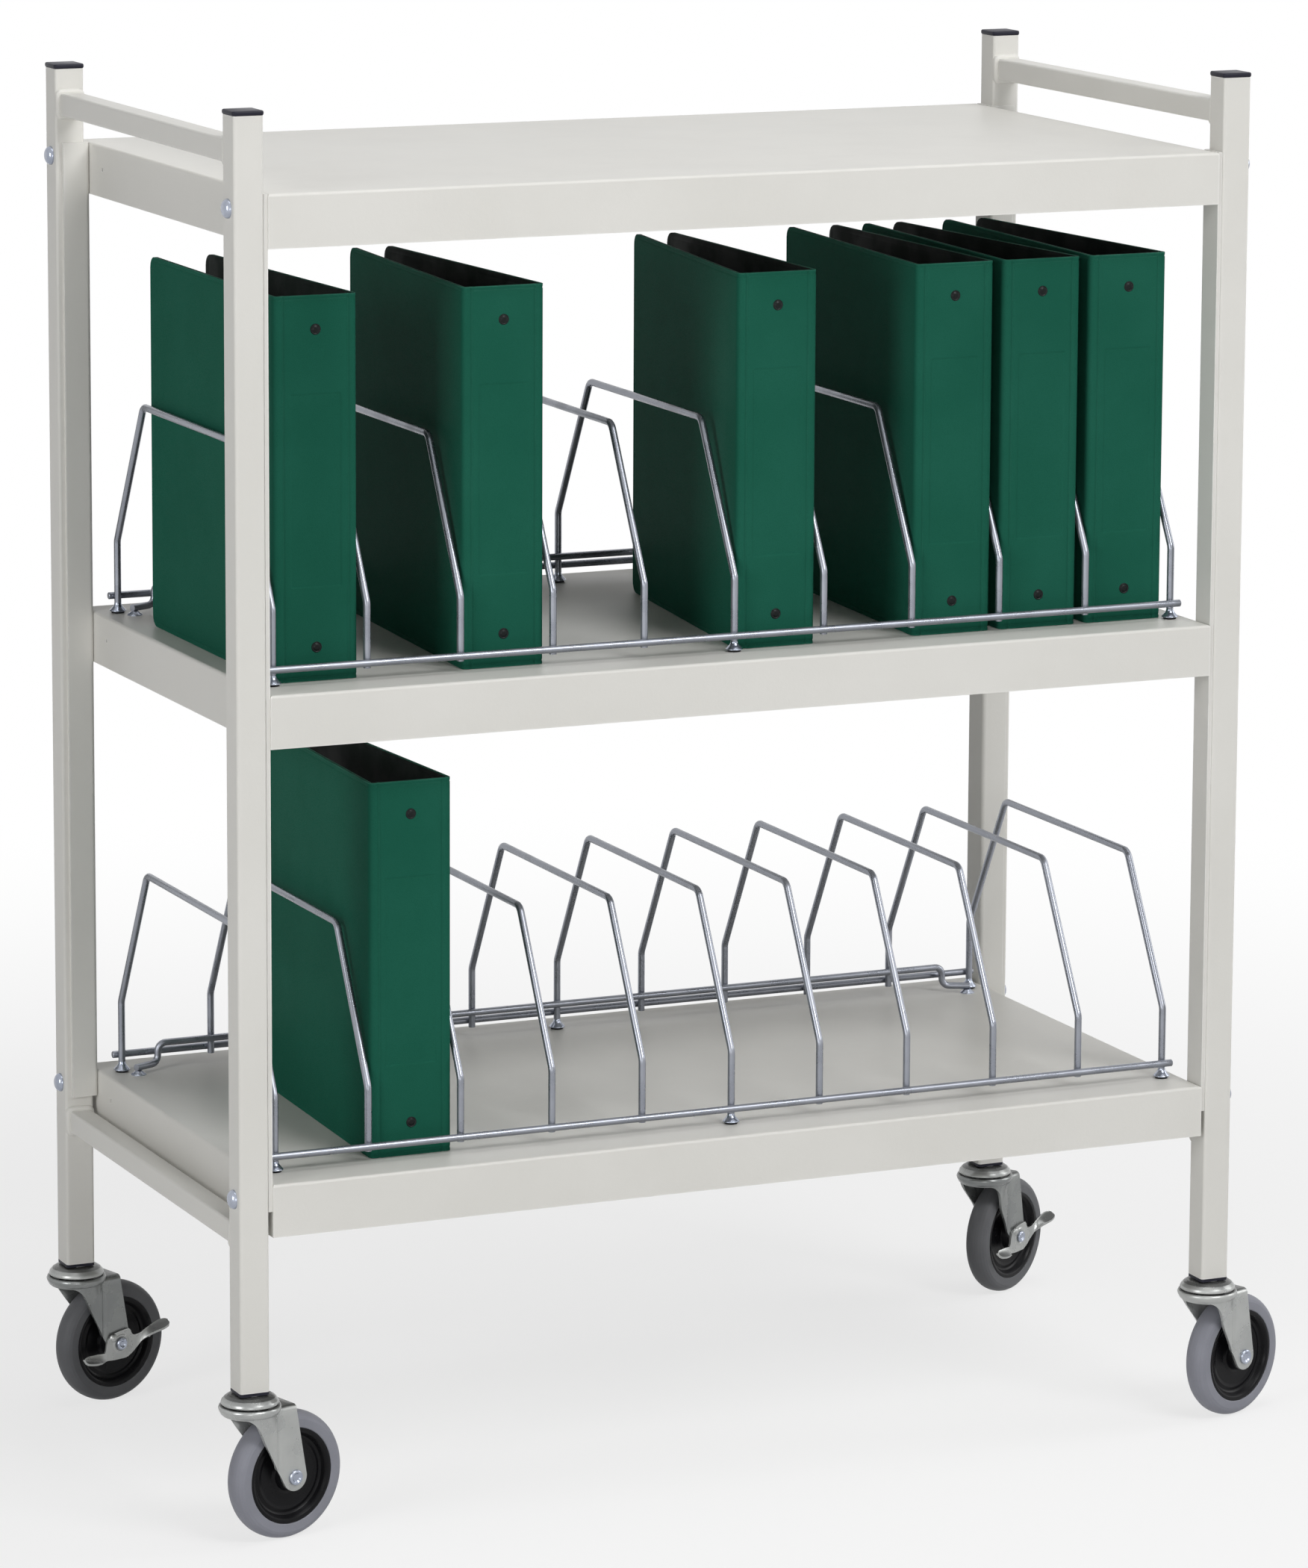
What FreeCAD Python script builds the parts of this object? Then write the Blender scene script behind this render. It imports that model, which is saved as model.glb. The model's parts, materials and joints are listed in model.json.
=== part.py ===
import FreeCAD, Part
import math
import os

import Sketcher
from FreeCAD import Vector

# Medical chart rack on four swivel casters: two welded end frames, three pressed shelves, two wire
# racks of ten slots, and seven ring binders standing in the slots.
# Millimetres, +Z up, +X to the right seen from the front, +Y to the rear.
# The origin is on the floor, at the centre of the four posts.

DRIVING_SIZES = {
    # end frames
    "frame_width": 905,
    "frame_depth": 450,
    "post_size": 25.4,
    "post_wall": 1.5,
    "post_bend": 2.5,
    "post_base": 130,
    "post_length": 1033,
    "cap_thickness": 4,
    "cap_overhang": 0.6,
    "cap_skirt": 12,
    "rail_size": 19,
    "rail_wall": 1.5,
    "rail_bend": 2,
    "handle_drop": 20,
    "cross_rail_drop": 34,
    "angle_sheet": 3.5,
    "angle_reveal": 5.5,
    "angle_drop": 22,
    # shelves
    "shelf_low": 301,
    "shelf_pitch": 400,
    "shelf_sheet": 1.5,
    "shelf_flange": 43.5,
    "shelf_bend": 2.5,
    "shelf_hem": 12,
    "slit_width": 0.8,
    "flange_hole_radius": 1.6,
    "flange_hole_drop": 20,
    "flange_hole_reach": 165,
    # frame bolts and nuts
    "bolt_radius": 3,
    "bolt_clearance": 0.1,
    "bolt_head_radius": 8,
    "bolt_head_height": 5,
    "bolt_length": 38,
    "bolt_drop": 11.5,
    "nut_radius": 5.8,
    "nut_height": 5,
    # wire racks
    "slot_count": 10,
    "slot_pitch": 81.3,
    "wire_radius": 3,
    "wire_bend": 10,
    "wire_end": 9,
    "foot_reach": 184,
    "lower_bend": 62,
    "top_reach": 115.5,
    "arch_height": 185.5,
    "rod_height": 14,
    "rod_overhang": 6.5,
    "stop_height": 23.5,
    "stop_half_length": 376,
    "stop_foot_out": 21,
    "stop_foot_forward": 10,
    "stop_foot_height": 6.2,
    "stop_bend": 7,
    "stud_radius": 2.5,
    "stud_length": 8,
    "stud_clearance": 0.1,
    "foot_flange_radius": 7,
    "foot_lip": 1,
    "foot_cone": 4.4,
    "rail_flange_radius": 6.5,
    "grommet_radius": 5.5,
    "grommet_height": 1.6,
    "stud_nut_radius": 4.6,
    "stud_nut_height": 4,
    # casters
    "wheel_radius": 53.3,
    "wheel_width": 21,
    "tread_round": 9,
    "hub_radius": 40,
    "hub_half_length": 12.6,
    "trail": 34,
    "axle_radius": 4,
    "axle_head_radius": 6.5,
    "running_clearance": 0.05,
    "fork_gap": 26,
    "fork_sheet": 2.5,
    "leg_round": 11.5,
    "crown_radius": 26.4,
    "raceway_radius": 23.7,
    "kingpin_radius": 6,
    "stem_radius": 5.5,
    "stem_length": 42,
    "plug_flange": 2.5,
    "plug_length": 45,
    "ball_radius": 1.7,
    "ball_circle": 13.5,
    "ball_count": 14,
    "swivel_front_left": 15.5,
    "swivel_front_right": 21.5,
    "swivel_rear_left": 16.5,
    "swivel_rear_right": 30.5,
    "lever_sheet": 2,
    "lever_gap": 0.4,
    "pedal_reach": 13,
    "toe_reach": 8,
    # binders
    "binder_width": 72,
    "binder_length": 292,
    "binder_height": 312,
    "binder_board": 3,
    "binder_fold": 3,
    "binder_corner": 10,
    "binder_setback": 177,
    "binder_lift": 0.2,
    "ring_plate_width": 20,
    "ring_plate_height": 280,
    "ring_radius": 21,
    "ring_wire": 1.6,
    "ring_spacing": 108,
    "rivet_spacing": 257,
    "rivet_radius": 2.5,
    "rivet_head_radius": 4.5,
}

# The corners of the rack, as signs along X and Y.
CORNERS = {
    "front_left": (-1, -1),
    "front_right": (1, -1),
    "rear_left": (-1, 1),
    "rear_right": (1, 1),
}
BRAKED_CORNERS = ("rear_left", "rear_right")

# Each rack's name, and how many shelf pitches it stands above the bottom shelf.
RACK_LEVELS = {"bottom": 0, "middle": 1}

# Binders: the rack, the slot counted from the left, and how far the left and right boards lean in
# at their rear edge.
BINDERS = {
    "binder_middle_1": ("middle", 1, 2, 18),
    "binder_middle_3": ("middle", 3, 18, 20),
    "binder_middle_6": ("middle", 6, 36, 2),
    "binder_middle_8": ("middle", 8, 18, 10),
    "binder_middle_9": ("middle", 9, 9, 30),
    "binder_middle_10": ("middle", 10, 6, 30),
    "binder_bottom_2": ("bottom", 2, 12, 16),
}

# Places that several pieces share, as formulas on the sheet.
POST_X = "(Sizes.frame_width - Sizes.post_size) / 2"
POST_Y = "(Sizes.frame_depth - Sizes.post_size) / 2"
POST_TOP = "Sizes.post_base + Sizes.post_length"
SHELF_TOP = "Sizes.shelf_low + 2 * Sizes.shelf_pitch"
SHELF_WIDTH = "(Sizes.frame_width - 2 * Sizes.post_size - 2 * Sizes.angle_sheet)"
RACK_SPAN = "(Sizes.slot_count * Sizes.slot_pitch)"
LEG_FACE = "(Sizes.fork_gap / 2 + Sizes.fork_sheet)"

document = FreeCAD.newDocument("MedicalChartRack")
sheet = document.addObject("Spreadsheet::Sheet", "Sizes")
pieces = []


def fill_sheet():
    for row, (alias, number) in enumerate(DRIVING_SIZES.items(), start=1):
        sheet.set(f"A{row}", alias)
        sheet.set(f"B{row}", str(number))
        sheet.setAlias(f"B{row}", alias)
    document.recompute()


# ---- modelling helpers -------------------------------------------------------------------------


def origin_feature(body, role):
    return next(item for item in body.Origin.OriginFeatures if item.Role == role)


def place(item, x="0", y="0", z="0", turn=None):
    """Bind an object's place, and its turn about Z in degrees, to formulas on the sheet."""
    for axis, formula in zip("xyz", (x, y, z)):
        item.setExpression(f"Placement.Base.{axis}", formula)
    if turn is not None:
        item.setExpression("Placement.Rotation.Angle", f"{turn} * 1 deg")


def new_body(label, **placement):
    body = document.addObject("PartDesign::Body", label)
    body.Label = label
    place(body, **placement)
    return body


def new_piece(label, **placement):
    body = new_body(label, **placement)
    pieces.append(body)
    return body


def add_sketch(body, name, role, x="0", y="0", z="0"):
    """A sketch on an origin plane, shifted by x and y in the plane and by z along its normal."""
    sketch = body.newObject("Sketcher::SketchObject", f"{body.Name}_{name}")
    sketch.AttachmentSupport = [(origin_feature(body, role), "")]
    sketch.MapMode = "FlatFace"
    for axis, formula in zip("xyz", (x, y, z)):
        sketch.setExpression(f"AttachmentOffset.Base.{axis}", formula)
    return sketch


def bind(sketch, constraint, formula):
    index = sketch.addConstraint(constraint)
    sketch.setExpression(f"Constraints[{index}]", formula)


def number_from(sketch, formula):
    return float(sketch.evalExpression(formula))


def add_corner_point(sketch, corner):
    """A construction point held at a corner by its two distances from the sketch's origin."""
    x, y = (number_from(sketch, formula) for formula in corner)
    point = sketch.addGeometry(Part.Point(Vector(x, y, 0)), True)
    bind(sketch, Sketcher.Constraint("DistanceX", point, 1, x), corner[0])
    bind(sketch, Sketcher.Constraint("DistanceY", point, 1, y), corner[1])
    return point, Vector(x, y, 0)


def add_bend(sketch, before, after, corner, to_previous, to_next, formula):
    """A tangent arc between two lines that meet at a corner."""
    radius = number_from(sketch, formula)
    setback = radius / math.tan(to_previous.getAngle(to_next) / 2)
    centre = corner + (to_previous + to_next).normalize() * math.hypot(setback, radius)
    start = corner + to_previous * setback - centre
    end = corner + to_next * setback - centre
    clockwise = start.cross(end).z < 0
    angles = [math.atan2(spoke.y, spoke.x) for spoke in (start, end)]
    if clockwise:
        angles.reverse()
    circle = Part.Circle(centre, Vector(0, 0, 1), radius)
    arc = sketch.addGeometry(Part.ArcOfCircle(circle, *angles), False)
    first_end = 2 if clockwise else 1
    sketch.addConstraint(Sketcher.Constraint("Tangent", before, 2, arc, first_end))
    sketch.addConstraint(Sketcher.Constraint("Tangent", after, 1, arc, 3 - first_end))
    bind(sketch, Sketcher.Constraint("Radius", arc, radius), formula)


def add_outline(sketch, corners, bends=None, closed=True):
    """Lines through the corners, with a tangent arc at each corner that has a bend radius."""
    bends = bends or {}
    total = len(corners)
    points, places = zip(*[add_corner_point(sketch, corner) for corner in corners])

    def toward(start, end):
        return (places[end % total] - places[start]).normalize()

    def setback(corner):
        if corner not in bends:
            return 0
        radius = number_from(sketch, bends[corner])
        angle = toward(corner, corner - 1).getAngle(toward(corner, corner + 1))
        return radius / math.tan(angle / 2)

    lines = []
    for start in range(total if closed else total - 1):
        end = (start + 1) % total
        along = toward(start, end)
        first = places[start] + along * setback(start)
        last = places[end] - along * setback(end)
        line = sketch.addGeometry(Part.LineSegment(first, last), False)
        for corner, line_end in ((start, 1), (end, 2)):
            if corner in bends:
                held = Sketcher.Constraint("PointOnObject", points[corner], 1, line)
            else:
                held = Sketcher.Constraint("Coincident", line, line_end, points[corner], 1)
            sketch.addConstraint(held)
        lines.append(line)
    for corner, formula in bends.items():
        before, after = lines[corner - 1], lines[corner]
        to_previous, to_next = toward(corner, corner - 1), toward(corner, corner + 1)
        add_bend(sketch, before, after, places[corner], to_previous, to_next, formula)


def add_circle(sketch, x, y, radius):
    centre = Vector(number_from(sketch, x), number_from(sketch, y), 0)
    size = number_from(sketch, radius)
    circle = sketch.addGeometry(Part.Circle(centre, Vector(0, 0, 1), size), False)
    bind(sketch, Sketcher.Constraint("DistanceX", circle, 3, centre.x), x)
    bind(sketch, Sketcher.Constraint("DistanceY", circle, 3, centre.y), y)
    bind(sketch, Sketcher.Constraint("Radius", circle, size), radius)


def add_rectangle(sketch, x, y, half_width, half_height, bend=None):
    corners = [
        (f"{x} - {half_width}", f"{y} - {half_height}"),
        (f"{x} + {half_width}", f"{y} - {half_height}"),
        (f"{x} + {half_width}", f"{y} + {half_height}"),
        (f"{x} - {half_width}", f"{y} + {half_height}"),
    ]
    bends = {corner: bend for corner in range(4)} if bend else None
    add_outline(sketch, corners, bends)


def extrude(body, kind, sketch, length, midplane=False, backward=False):
    feature = body.newObject(f"PartDesign::{kind}", f"{sketch.Name}_{kind.lower()}")
    feature.Profile = sketch
    feature.Midplane = midplane
    feature.Reversed = backward
    feature.setExpression("Length", length)
    return feature


def pad(body, sketch, length, **options):
    return extrude(body, "Pad", sketch, length, **options)


def cut(body, sketch, length, **options):
    """Pocket a sketch, and check that it really takes material away."""
    document.recompute()
    volume = body.Shape.Volume
    feature = extrude(body, "Pocket", sketch, length, **options)
    document.recompute()
    if feature.Shape.Volume >= volume:
        raise RuntimeError(f"{feature.Name} cuts nothing")
    return feature


def revolve(body, sketch, axis):
    feature = body.newObject("PartDesign::Revolution", f"{sketch.Name}_revolution")
    feature.Profile = sketch
    feature.ReferenceAxis = (sketch, [axis])
    feature.Angle = 360
    return feature


def round_edges(body, feature, radius, wanted):
    """Fillet the edges of a feature that the test function picks."""
    document.recompute()
    edges = feature.Shape.Edges
    names = [f"Edge{number}" for number, edge in enumerate(edges, start=1) if wanted(edge)]
    fillet = body.newObject("PartDesign::Fillet", f"{feature.Name}_fillet")
    fillet.Base = (feature, names)
    fillet.setExpression("Radius", radius)
    return fillet


def repeat(body, feature, rows=(), mirrors=(), turns=None):
    """Copy a feature in rows along axes, across planes and round the Z axis, as separate solids."""
    steps = []
    if turns:
        step = body.newObject("PartDesign::PolarPattern", f"{feature.Name}_round")
        step.Axis = (origin_feature(body, "Z_Axis"), [""])
        step.Angle = 360
        step.setExpression("Occurrences", turns)
        steps.append(step)
    for axis, length, count in rows:
        step = body.newObject("PartDesign::LinearPattern", f"{feature.Name}_along_{axis.lower()}")
        step.Direction = (origin_feature(body, f"{axis}_Axis"), [""])
        step.setExpression("Length", length)
        step.setExpression("Occurrences", count)
        steps.append(step)
    for role in mirrors:
        step = body.newObject("PartDesign::Mirrored", f"{feature.Name}_across_{role.lower()}")
        step.MirrorPlane = (origin_feature(body, role), [""])
        steps.append(step)
    pattern = body.newObject("PartDesign::MultiTransform", f"{feature.Name}_copies")
    pattern.Originals = [feature]
    pattern.Transformations = steps
    body.Tip = pattern
    return pattern


def sweep_wire(body, path, start_x, start_y, height):
    """A round wire along a path sketch, from a circle in the horizontal plane at its start."""
    section = add_sketch(body, "section", "XY_Plane", z=height)
    add_circle(section, start_x, start_y, "Sizes.wire_radius")
    pipe = body.newObject("PartDesign::AdditivePipe", f"{body.Name}_wire")
    pipe.Profile = section
    pipe.Spine = (path, [])
    return pipe


# ---- end frames --------------------------------------------------------------------------------


def make_post(corner, signs):
    side, front = signs
    x, y = f"{side} * {POST_X}", f"{front} * {POST_Y}"
    body = new_piece(f"post_{corner}", x=x, y=y, z="Sizes.post_base")
    section = add_sketch(body, "section", "XY_Plane")
    half = "Sizes.post_size / 2"
    bore = "(Sizes.post_size / 2 - Sizes.post_wall)"
    add_rectangle(section, "0", "0", half, half, "Sizes.post_bend")
    add_rectangle(section, "0", "0", bore, bore, "(Sizes.post_bend - Sizes.post_wall)")
    pad(body, section, "Sizes.post_length")
    holes = add_sketch(body, "bolt_holes", "YZ_Plane")
    for shelf in ("Sizes.shelf_low", SHELF_TOP):
        height = f"{shelf} - Sizes.bolt_drop - Sizes.post_base"
        add_circle(holes, "0", height, "Sizes.bolt_radius + Sizes.bolt_clearance")
    cut(body, holes, "2 * Sizes.post_size", midplane=True)


def make_rail(label, side, height):
    """A square tube welded between the front and rear posts of one end."""
    body = new_piece(label, x=f"{side} * {POST_X}", z=height)
    section = add_sketch(body, "section", "XZ_Plane")
    half = "Sizes.rail_size / 2"
    bore = "(Sizes.rail_size / 2 - Sizes.rail_wall)"
    add_rectangle(section, "0", "0", half, half, "Sizes.rail_bend")
    add_rectangle(section, "0", "0", bore, bore, "(Sizes.rail_bend - Sizes.rail_wall)")
    pad(body, section, "Sizes.frame_depth - 2 * Sizes.post_size", midplane=True)


def make_angle(corner, signs):
    """An angle that wraps the post's inner corner, from the bottom shelf to the top shelf."""
    side, front = signs
    x, y = f"{side} * {POST_X}", f"{front} * {POST_Y}"
    body = new_piece(f"angle_{corner}", x=x, y=y, z="Sizes.shelf_low - Sizes.angle_drop")
    half = "Sizes.post_size / 2"
    over = "(Sizes.post_size / 2 + Sizes.angle_sheet)"
    reveal = "(Sizes.post_size / 2 - Sizes.angle_reveal)"
    sheet_end = "(Sizes.post_size / 2 - 0.5 * Sizes.post_bend)"

    # Seen from the post's axis, x and y run toward the middle of the rack.
    def corner_at(inward_x, inward_y):
        return f"{-side} * {inward_x}", f"{-front} * {inward_y}"

    outline = [
        corner_at(f"-1 * {reveal}", half),
        corner_at(half, half),
        corner_at(half, f"-1 * {sheet_end}"),
        corner_at(over, f"-1 * {sheet_end}"),
        corner_at(over, over),
        corner_at(f"-1 * {reveal}", over),
    ]
    section = add_sketch(body, "section", "XY_Plane")
    add_outline(section, outline, {4: "Sizes.angle_sheet"})
    pad(body, section, "2 * Sizes.shelf_pitch + Sizes.angle_drop")
    holes = add_sketch(body, "bolt_holes", "YZ_Plane")
    for level in ("0", "2 * Sizes.shelf_pitch"):
        height = f"{level} + Sizes.angle_drop - Sizes.bolt_drop"
        add_circle(holes, "0", height, "Sizes.bolt_radius + Sizes.bolt_clearance")
    cut(body, holes, "2 * Sizes.post_size", midplane=True)


def post_centres():
    return [(f"{side} * {POST_X}", f"{front} * {POST_Y}") for side, front in CORNERS.values()]


def make_post_caps():
    body = new_piece("post_caps", z=POST_TOP)
    plates = add_sketch(body, "plates", "XY_Plane")
    skirts = add_sketch(body, "skirts", "XY_Plane")
    half_plate = "(Sizes.post_size / 2 + Sizes.cap_overhang)"
    half_skirt = "(Sizes.post_size / 2 - Sizes.post_wall)"
    for x, y in post_centres():
        add_rectangle(plates, x, y, half_plate, half_plate, "Sizes.post_bend")
        add_rectangle(skirts, x, y, half_skirt, half_skirt, "(Sizes.post_bend - Sizes.post_wall)")
    caps = pad(body, plates, "Sizes.cap_thickness")
    top = DRIVING_SIZES["cap_thickness"]
    round_edges(body, caps, "Sizes.cap_thickness * 0.4", lambda edge: edge.BoundBox.ZMin > top - 1e-3)
    pad(body, skirts, "Sizes.cap_skirt", backward=True)


def make_frame_bolts():
    body = new_piece("frame_bolts")
    place_on_post = {
        "x": "-Sizes.frame_width / 2",
        "y": f"-{POST_Y}",
        "z": "Sizes.shelf_low - Sizes.bolt_drop",
    }
    profile = add_sketch(body, "profile", "XY_Plane", **place_on_post)
    outline = [
        ("-Sizes.bolt_head_height", "0"),
        ("-Sizes.bolt_head_height", "Sizes.bolt_head_radius"),
        ("0", "Sizes.bolt_head_radius"),
        ("0", "Sizes.bolt_radius"),
        ("Sizes.bolt_length", "Sizes.bolt_radius"),
        ("Sizes.bolt_length", "0"),
    ]
    add_outline(profile, outline, {1: "Sizes.bolt_head_height * 0.92"})
    bolt = revolve(body, profile, "H_Axis")
    repeat(body, bolt, bolt_rows(), mirrors=["YZ_Plane"])


def bolt_rows():
    across = "Sizes.frame_depth - Sizes.post_size"
    return [("Y", across, "2"), ("Z", "2 * Sizes.shelf_pitch", "2")]


def add_hexagon(sketch, x, y, radius):
    corners = []
    for side in range(6):
        angle = f"{60 * side} deg"
        corners.append((f"{x} + {radius} * cos({angle})", f"{y} + {radius} * sin({angle})"))
    add_outline(sketch, corners)


def make_frame_nuts():
    body = new_piece("frame_nuts")
    inner_face = f"-{SHELF_WIDTH} / 2 + Sizes.shelf_sheet"
    profile = add_sketch(body, "profile", "YZ_Plane", z=inner_face)
    y, z = f"-1 * {POST_Y}", "Sizes.shelf_low - Sizes.bolt_drop"
    add_hexagon(profile, y, z, "Sizes.nut_radius")
    add_circle(profile, y, z, "Sizes.bolt_radius")
    nut = pad(body, profile, "Sizes.nut_height")
    repeat(body, nut, bolt_rows(), mirrors=["YZ_Plane"])


# ---- shelves -----------------------------------------------------------------------------------


def make_shelf(label, level, studs):
    """A pressed shelf: a flat top with four turned-down flanges, and hems at front and rear."""
    top = f"Sizes.shelf_low + {level} * Sizes.shelf_pitch"
    body = new_piece(label, z=f"{top} - Sizes.shelf_flange")
    half_width, half_depth = f"({SHELF_WIDTH} / 2)", "(Sizes.frame_depth / 2)"
    height = DRIVING_SIZES["shelf_flange"]

    blank = add_sketch(body, "blank", "XY_Plane")
    add_rectangle(blank, "0", "0", half_width, half_depth)
    block = pad(body, blank, "Sizes.shelf_flange")
    round_edges(body, block, "Sizes.shelf_bend", lambda edge: edge.BoundBox.ZMin > height - 1e-3)

    hollow = add_sketch(body, "hollow", "XY_Plane")
    inner_width = f"({half_width} - Sizes.shelf_sheet)"
    inner_depth = f"({half_depth} - Sizes.shelf_sheet)"
    add_rectangle(hollow, "0", "0", inner_width, inner_depth, "Sizes.shelf_sheet")
    cut(body, hollow, "Sizes.shelf_flange - Sizes.shelf_sheet", backward=True)

    hems = add_sketch(body, "hems", "XY_Plane")
    for front in (-1, 1):
        middle = f"{front} * ({half_depth} - Sizes.shelf_sheet / 2 - Sizes.shelf_hem / 2)"
        reach = "((Sizes.shelf_hem + Sizes.shelf_sheet) / 2)"
        add_rectangle(hems, "0", middle, f"({inner_width} - 2 * Sizes.shelf_sheet)", reach)
    pad(body, hems, "Sizes.shelf_sheet")

    # A slit at each end of the front and rear flanges, where the end flange folds down by itself.
    slits = add_sketch(body, "slits", "XY_Plane")
    for side, front in CORNERS.values():
        x = f"{side} * {half_width}"
        y = f"{front} * ({inner_depth} - Sizes.slit_width / 2)"
        add_rectangle(slits, x, y, "(Sizes.shelf_sheet * 1.1)", "(Sizes.slit_width / 2)")
    cut(body, slits, "Sizes.shelf_flange - Sizes.shelf_bend", backward=True)

    add_flange_holes(body, level)
    if studs:
        add_stud_holes(body)


def add_flange_holes(body, level):
    """Holes in the end flanges: frame bolts on the outer shelves, and one small hole at each end."""
    for side in (-1, 1):
        holes = add_sketch(body, f"end_holes_{side + 1}", "YZ_Plane", z=f"{side} * {SHELF_WIDTH} / 2")
        small_height = "Sizes.shelf_flange - Sizes.flange_hole_drop"
        add_circle(holes, f"{-side} * Sizes.flange_hole_reach", small_height, "Sizes.flange_hole_radius")
        if level != 1:
            bolt_height = "Sizes.shelf_flange - Sizes.bolt_drop"
            for front in (-1, 1):
                radius = "Sizes.bolt_radius + Sizes.bolt_clearance"
                add_circle(holes, f"{front} * {POST_Y}", bolt_height, radius)
        cut(body, holes, "4 * Sizes.shelf_sheet", midplane=True)


def add_stud_holes(body):
    holes = add_sketch(body, "stud_holes", "XY_Plane", z="Sizes.shelf_flange")
    radius = "Sizes.stud_radius + Sizes.stud_clearance"
    for column in (-0.5, 0, 0.5):
        for front in (-1, 1):
            add_circle(holes, f"{column} * {RACK_SPAN}", f"{front} * Sizes.foot_reach", radius)
    for side in (-1, 1):
        add_circle(holes, f"{side} * {stop_screw_x()}", stop_screw_y(), radius)
    cut(body, holes, "4 * Sizes.shelf_sheet", midplane=True)


def stop_screw_x():
    return "(Sizes.stop_half_length + Sizes.stop_foot_out)"


def stop_screw_y():
    return "(Sizes.foot_reach - 2 * Sizes.wire_radius - Sizes.stop_foot_forward)"


# ---- wire racks --------------------------------------------------------------------------------


def rack_height(name):
    return f"Sizes.shelf_low + {RACK_LEVELS[name]} * Sizes.shelf_pitch"


def make_dividers(name):
    """Bent wire arches side by side, one more than there are slots."""
    body = new_piece(f"dividers_{name}", x=f"-{RACK_SPAN} / 2", z=rack_height(name))
    path = add_sketch(body, "path", "YZ_Plane")
    outline = [
        ("-Sizes.foot_reach", "Sizes.wire_end"),
        ("-Sizes.foot_reach", "Sizes.lower_bend"),
        ("-Sizes.top_reach", "Sizes.arch_height"),
        ("Sizes.top_reach", "Sizes.arch_height"),
        ("Sizes.foot_reach", "Sizes.lower_bend"),
        ("Sizes.foot_reach", "Sizes.wire_end"),
    ]
    bends = {corner: "Sizes.wire_bend" for corner in range(1, 5)}
    add_outline(path, outline, bends, closed=False)
    arch = sweep_wire(body, path, "0", "-Sizes.foot_reach", "Sizes.wire_end")
    repeat(body, arch, [("X", RACK_SPAN, "Sizes.slot_count + 1")])


def make_rod(label, name, front):
    """A straight rod welded across the outside of all the dividers' legs."""
    rod = document.addObject("Part::Cylinder", label)
    rod.Label = label
    rod.setExpression("Radius", "Sizes.wire_radius")
    rod.setExpression("Height", f"{RACK_SPAN} + 2 * Sizes.rod_overhang")
    rod.Placement.Rotation = FreeCAD.Rotation(Vector(0, 1, 0), 90)
    place(
        rod,
        x=f"-{RACK_SPAN} / 2 - Sizes.rod_overhang",
        y=f"{front} * (Sizes.foot_reach + 2 * Sizes.wire_radius)",
        z=f"{rack_height(name)} + Sizes.rod_height",
    )
    pieces.append(rod)


def bent_wire(corners, bend, radius):
    """A round wire through points in space, with tangent arcs at the inner points."""
    edges = []
    start = corners[0]
    for before, corner, after in zip(corners, corners[1:], corners[2:]):
        back = (before - corner).normalize()
        ahead = (after - corner).normalize()
        setback = bend / math.tan(back.getAngle(ahead) / 2)
        centre = corner + (back + ahead).normalize() * math.hypot(setback, bend)
        middle = centre + (corner - centre).normalize() * bend
        arc_start, arc_end = corner + back * setback, corner + ahead * setback
        edges.append(Part.LineSegment(start, arc_start).toShape())
        edges.append(Part.Arc(arc_start, middle, arc_end).toShape())
        start = arc_end
    edges.append(Part.LineSegment(start, corners[-1]).toShape())
    direction = (corners[1] - corners[0]).normalize()
    circle = Part.Wire(Part.Circle(corners[0], direction, radius).toShape())
    return Part.Wire(edges).makePipeShell([circle], True, True)


def make_stop_rail(name):
    """The rear rail that charts stop against: its ends step down and out to feet on the shelf."""
    size = {alias: float(sheet.get(alias)) for alias in DRIVING_SIZES}
    reach = size["foot_reach"] - 2 * size["wire_radius"]
    end, top, foot = size["stop_half_length"], size["stop_height"], size["stop_foot_height"]
    foot_x = end + size["stop_foot_out"]
    foot_y = reach - size["stop_foot_forward"]
    left = [Vector(-foot_x, foot_y, foot), Vector(-end, reach, foot), Vector(-end, reach, top)]
    right = [Vector(-point.x, point.y, point.z) for point in reversed(left)]
    label = f"stop_rail_{name}"
    rail = document.addObject("Part::Feature", label)
    rail.Label = label
    rail.Shape = bent_wire(left + right, size["stop_bend"], size["wire_radius"])
    place(rail, z=rack_height(name))
    pieces.append(rail)


def foot_rows():
    return [
        ("X", RACK_SPAN, "3"),
        ("Y", "2 * Sizes.foot_reach", "2"),
        ("Z", "Sizes.shelf_pitch", "2"),
    ]


def make_rack_feet():
    """Studs with a flared foot under the first, middle and last divider of both racks."""
    body = new_piece("rack_feet", x=f"-{RACK_SPAN} / 2", y="-Sizes.foot_reach", z="Sizes.shelf_low")
    profile = add_sketch(body, "profile", "XZ_Plane")
    seat, lip = "Sizes.grommet_height", "(Sizes.grommet_height + Sizes.foot_lip)"
    outline = [
        ("0", "Sizes.wire_end"),
        ("Sizes.wire_radius", "Sizes.wire_end"),
        ("Sizes.wire_radius", f"{lip} + Sizes.foot_cone"),
        ("Sizes.foot_flange_radius", lip),
        ("Sizes.foot_flange_radius", seat),
        ("Sizes.stud_radius", seat),
        ("Sizes.stud_radius", "-Sizes.stud_length"),
        ("0", "-Sizes.stud_length"),
    ]
    add_outline(profile, outline)
    repeat(body, revolve(body, profile, "V_Axis"), foot_rows())


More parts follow.
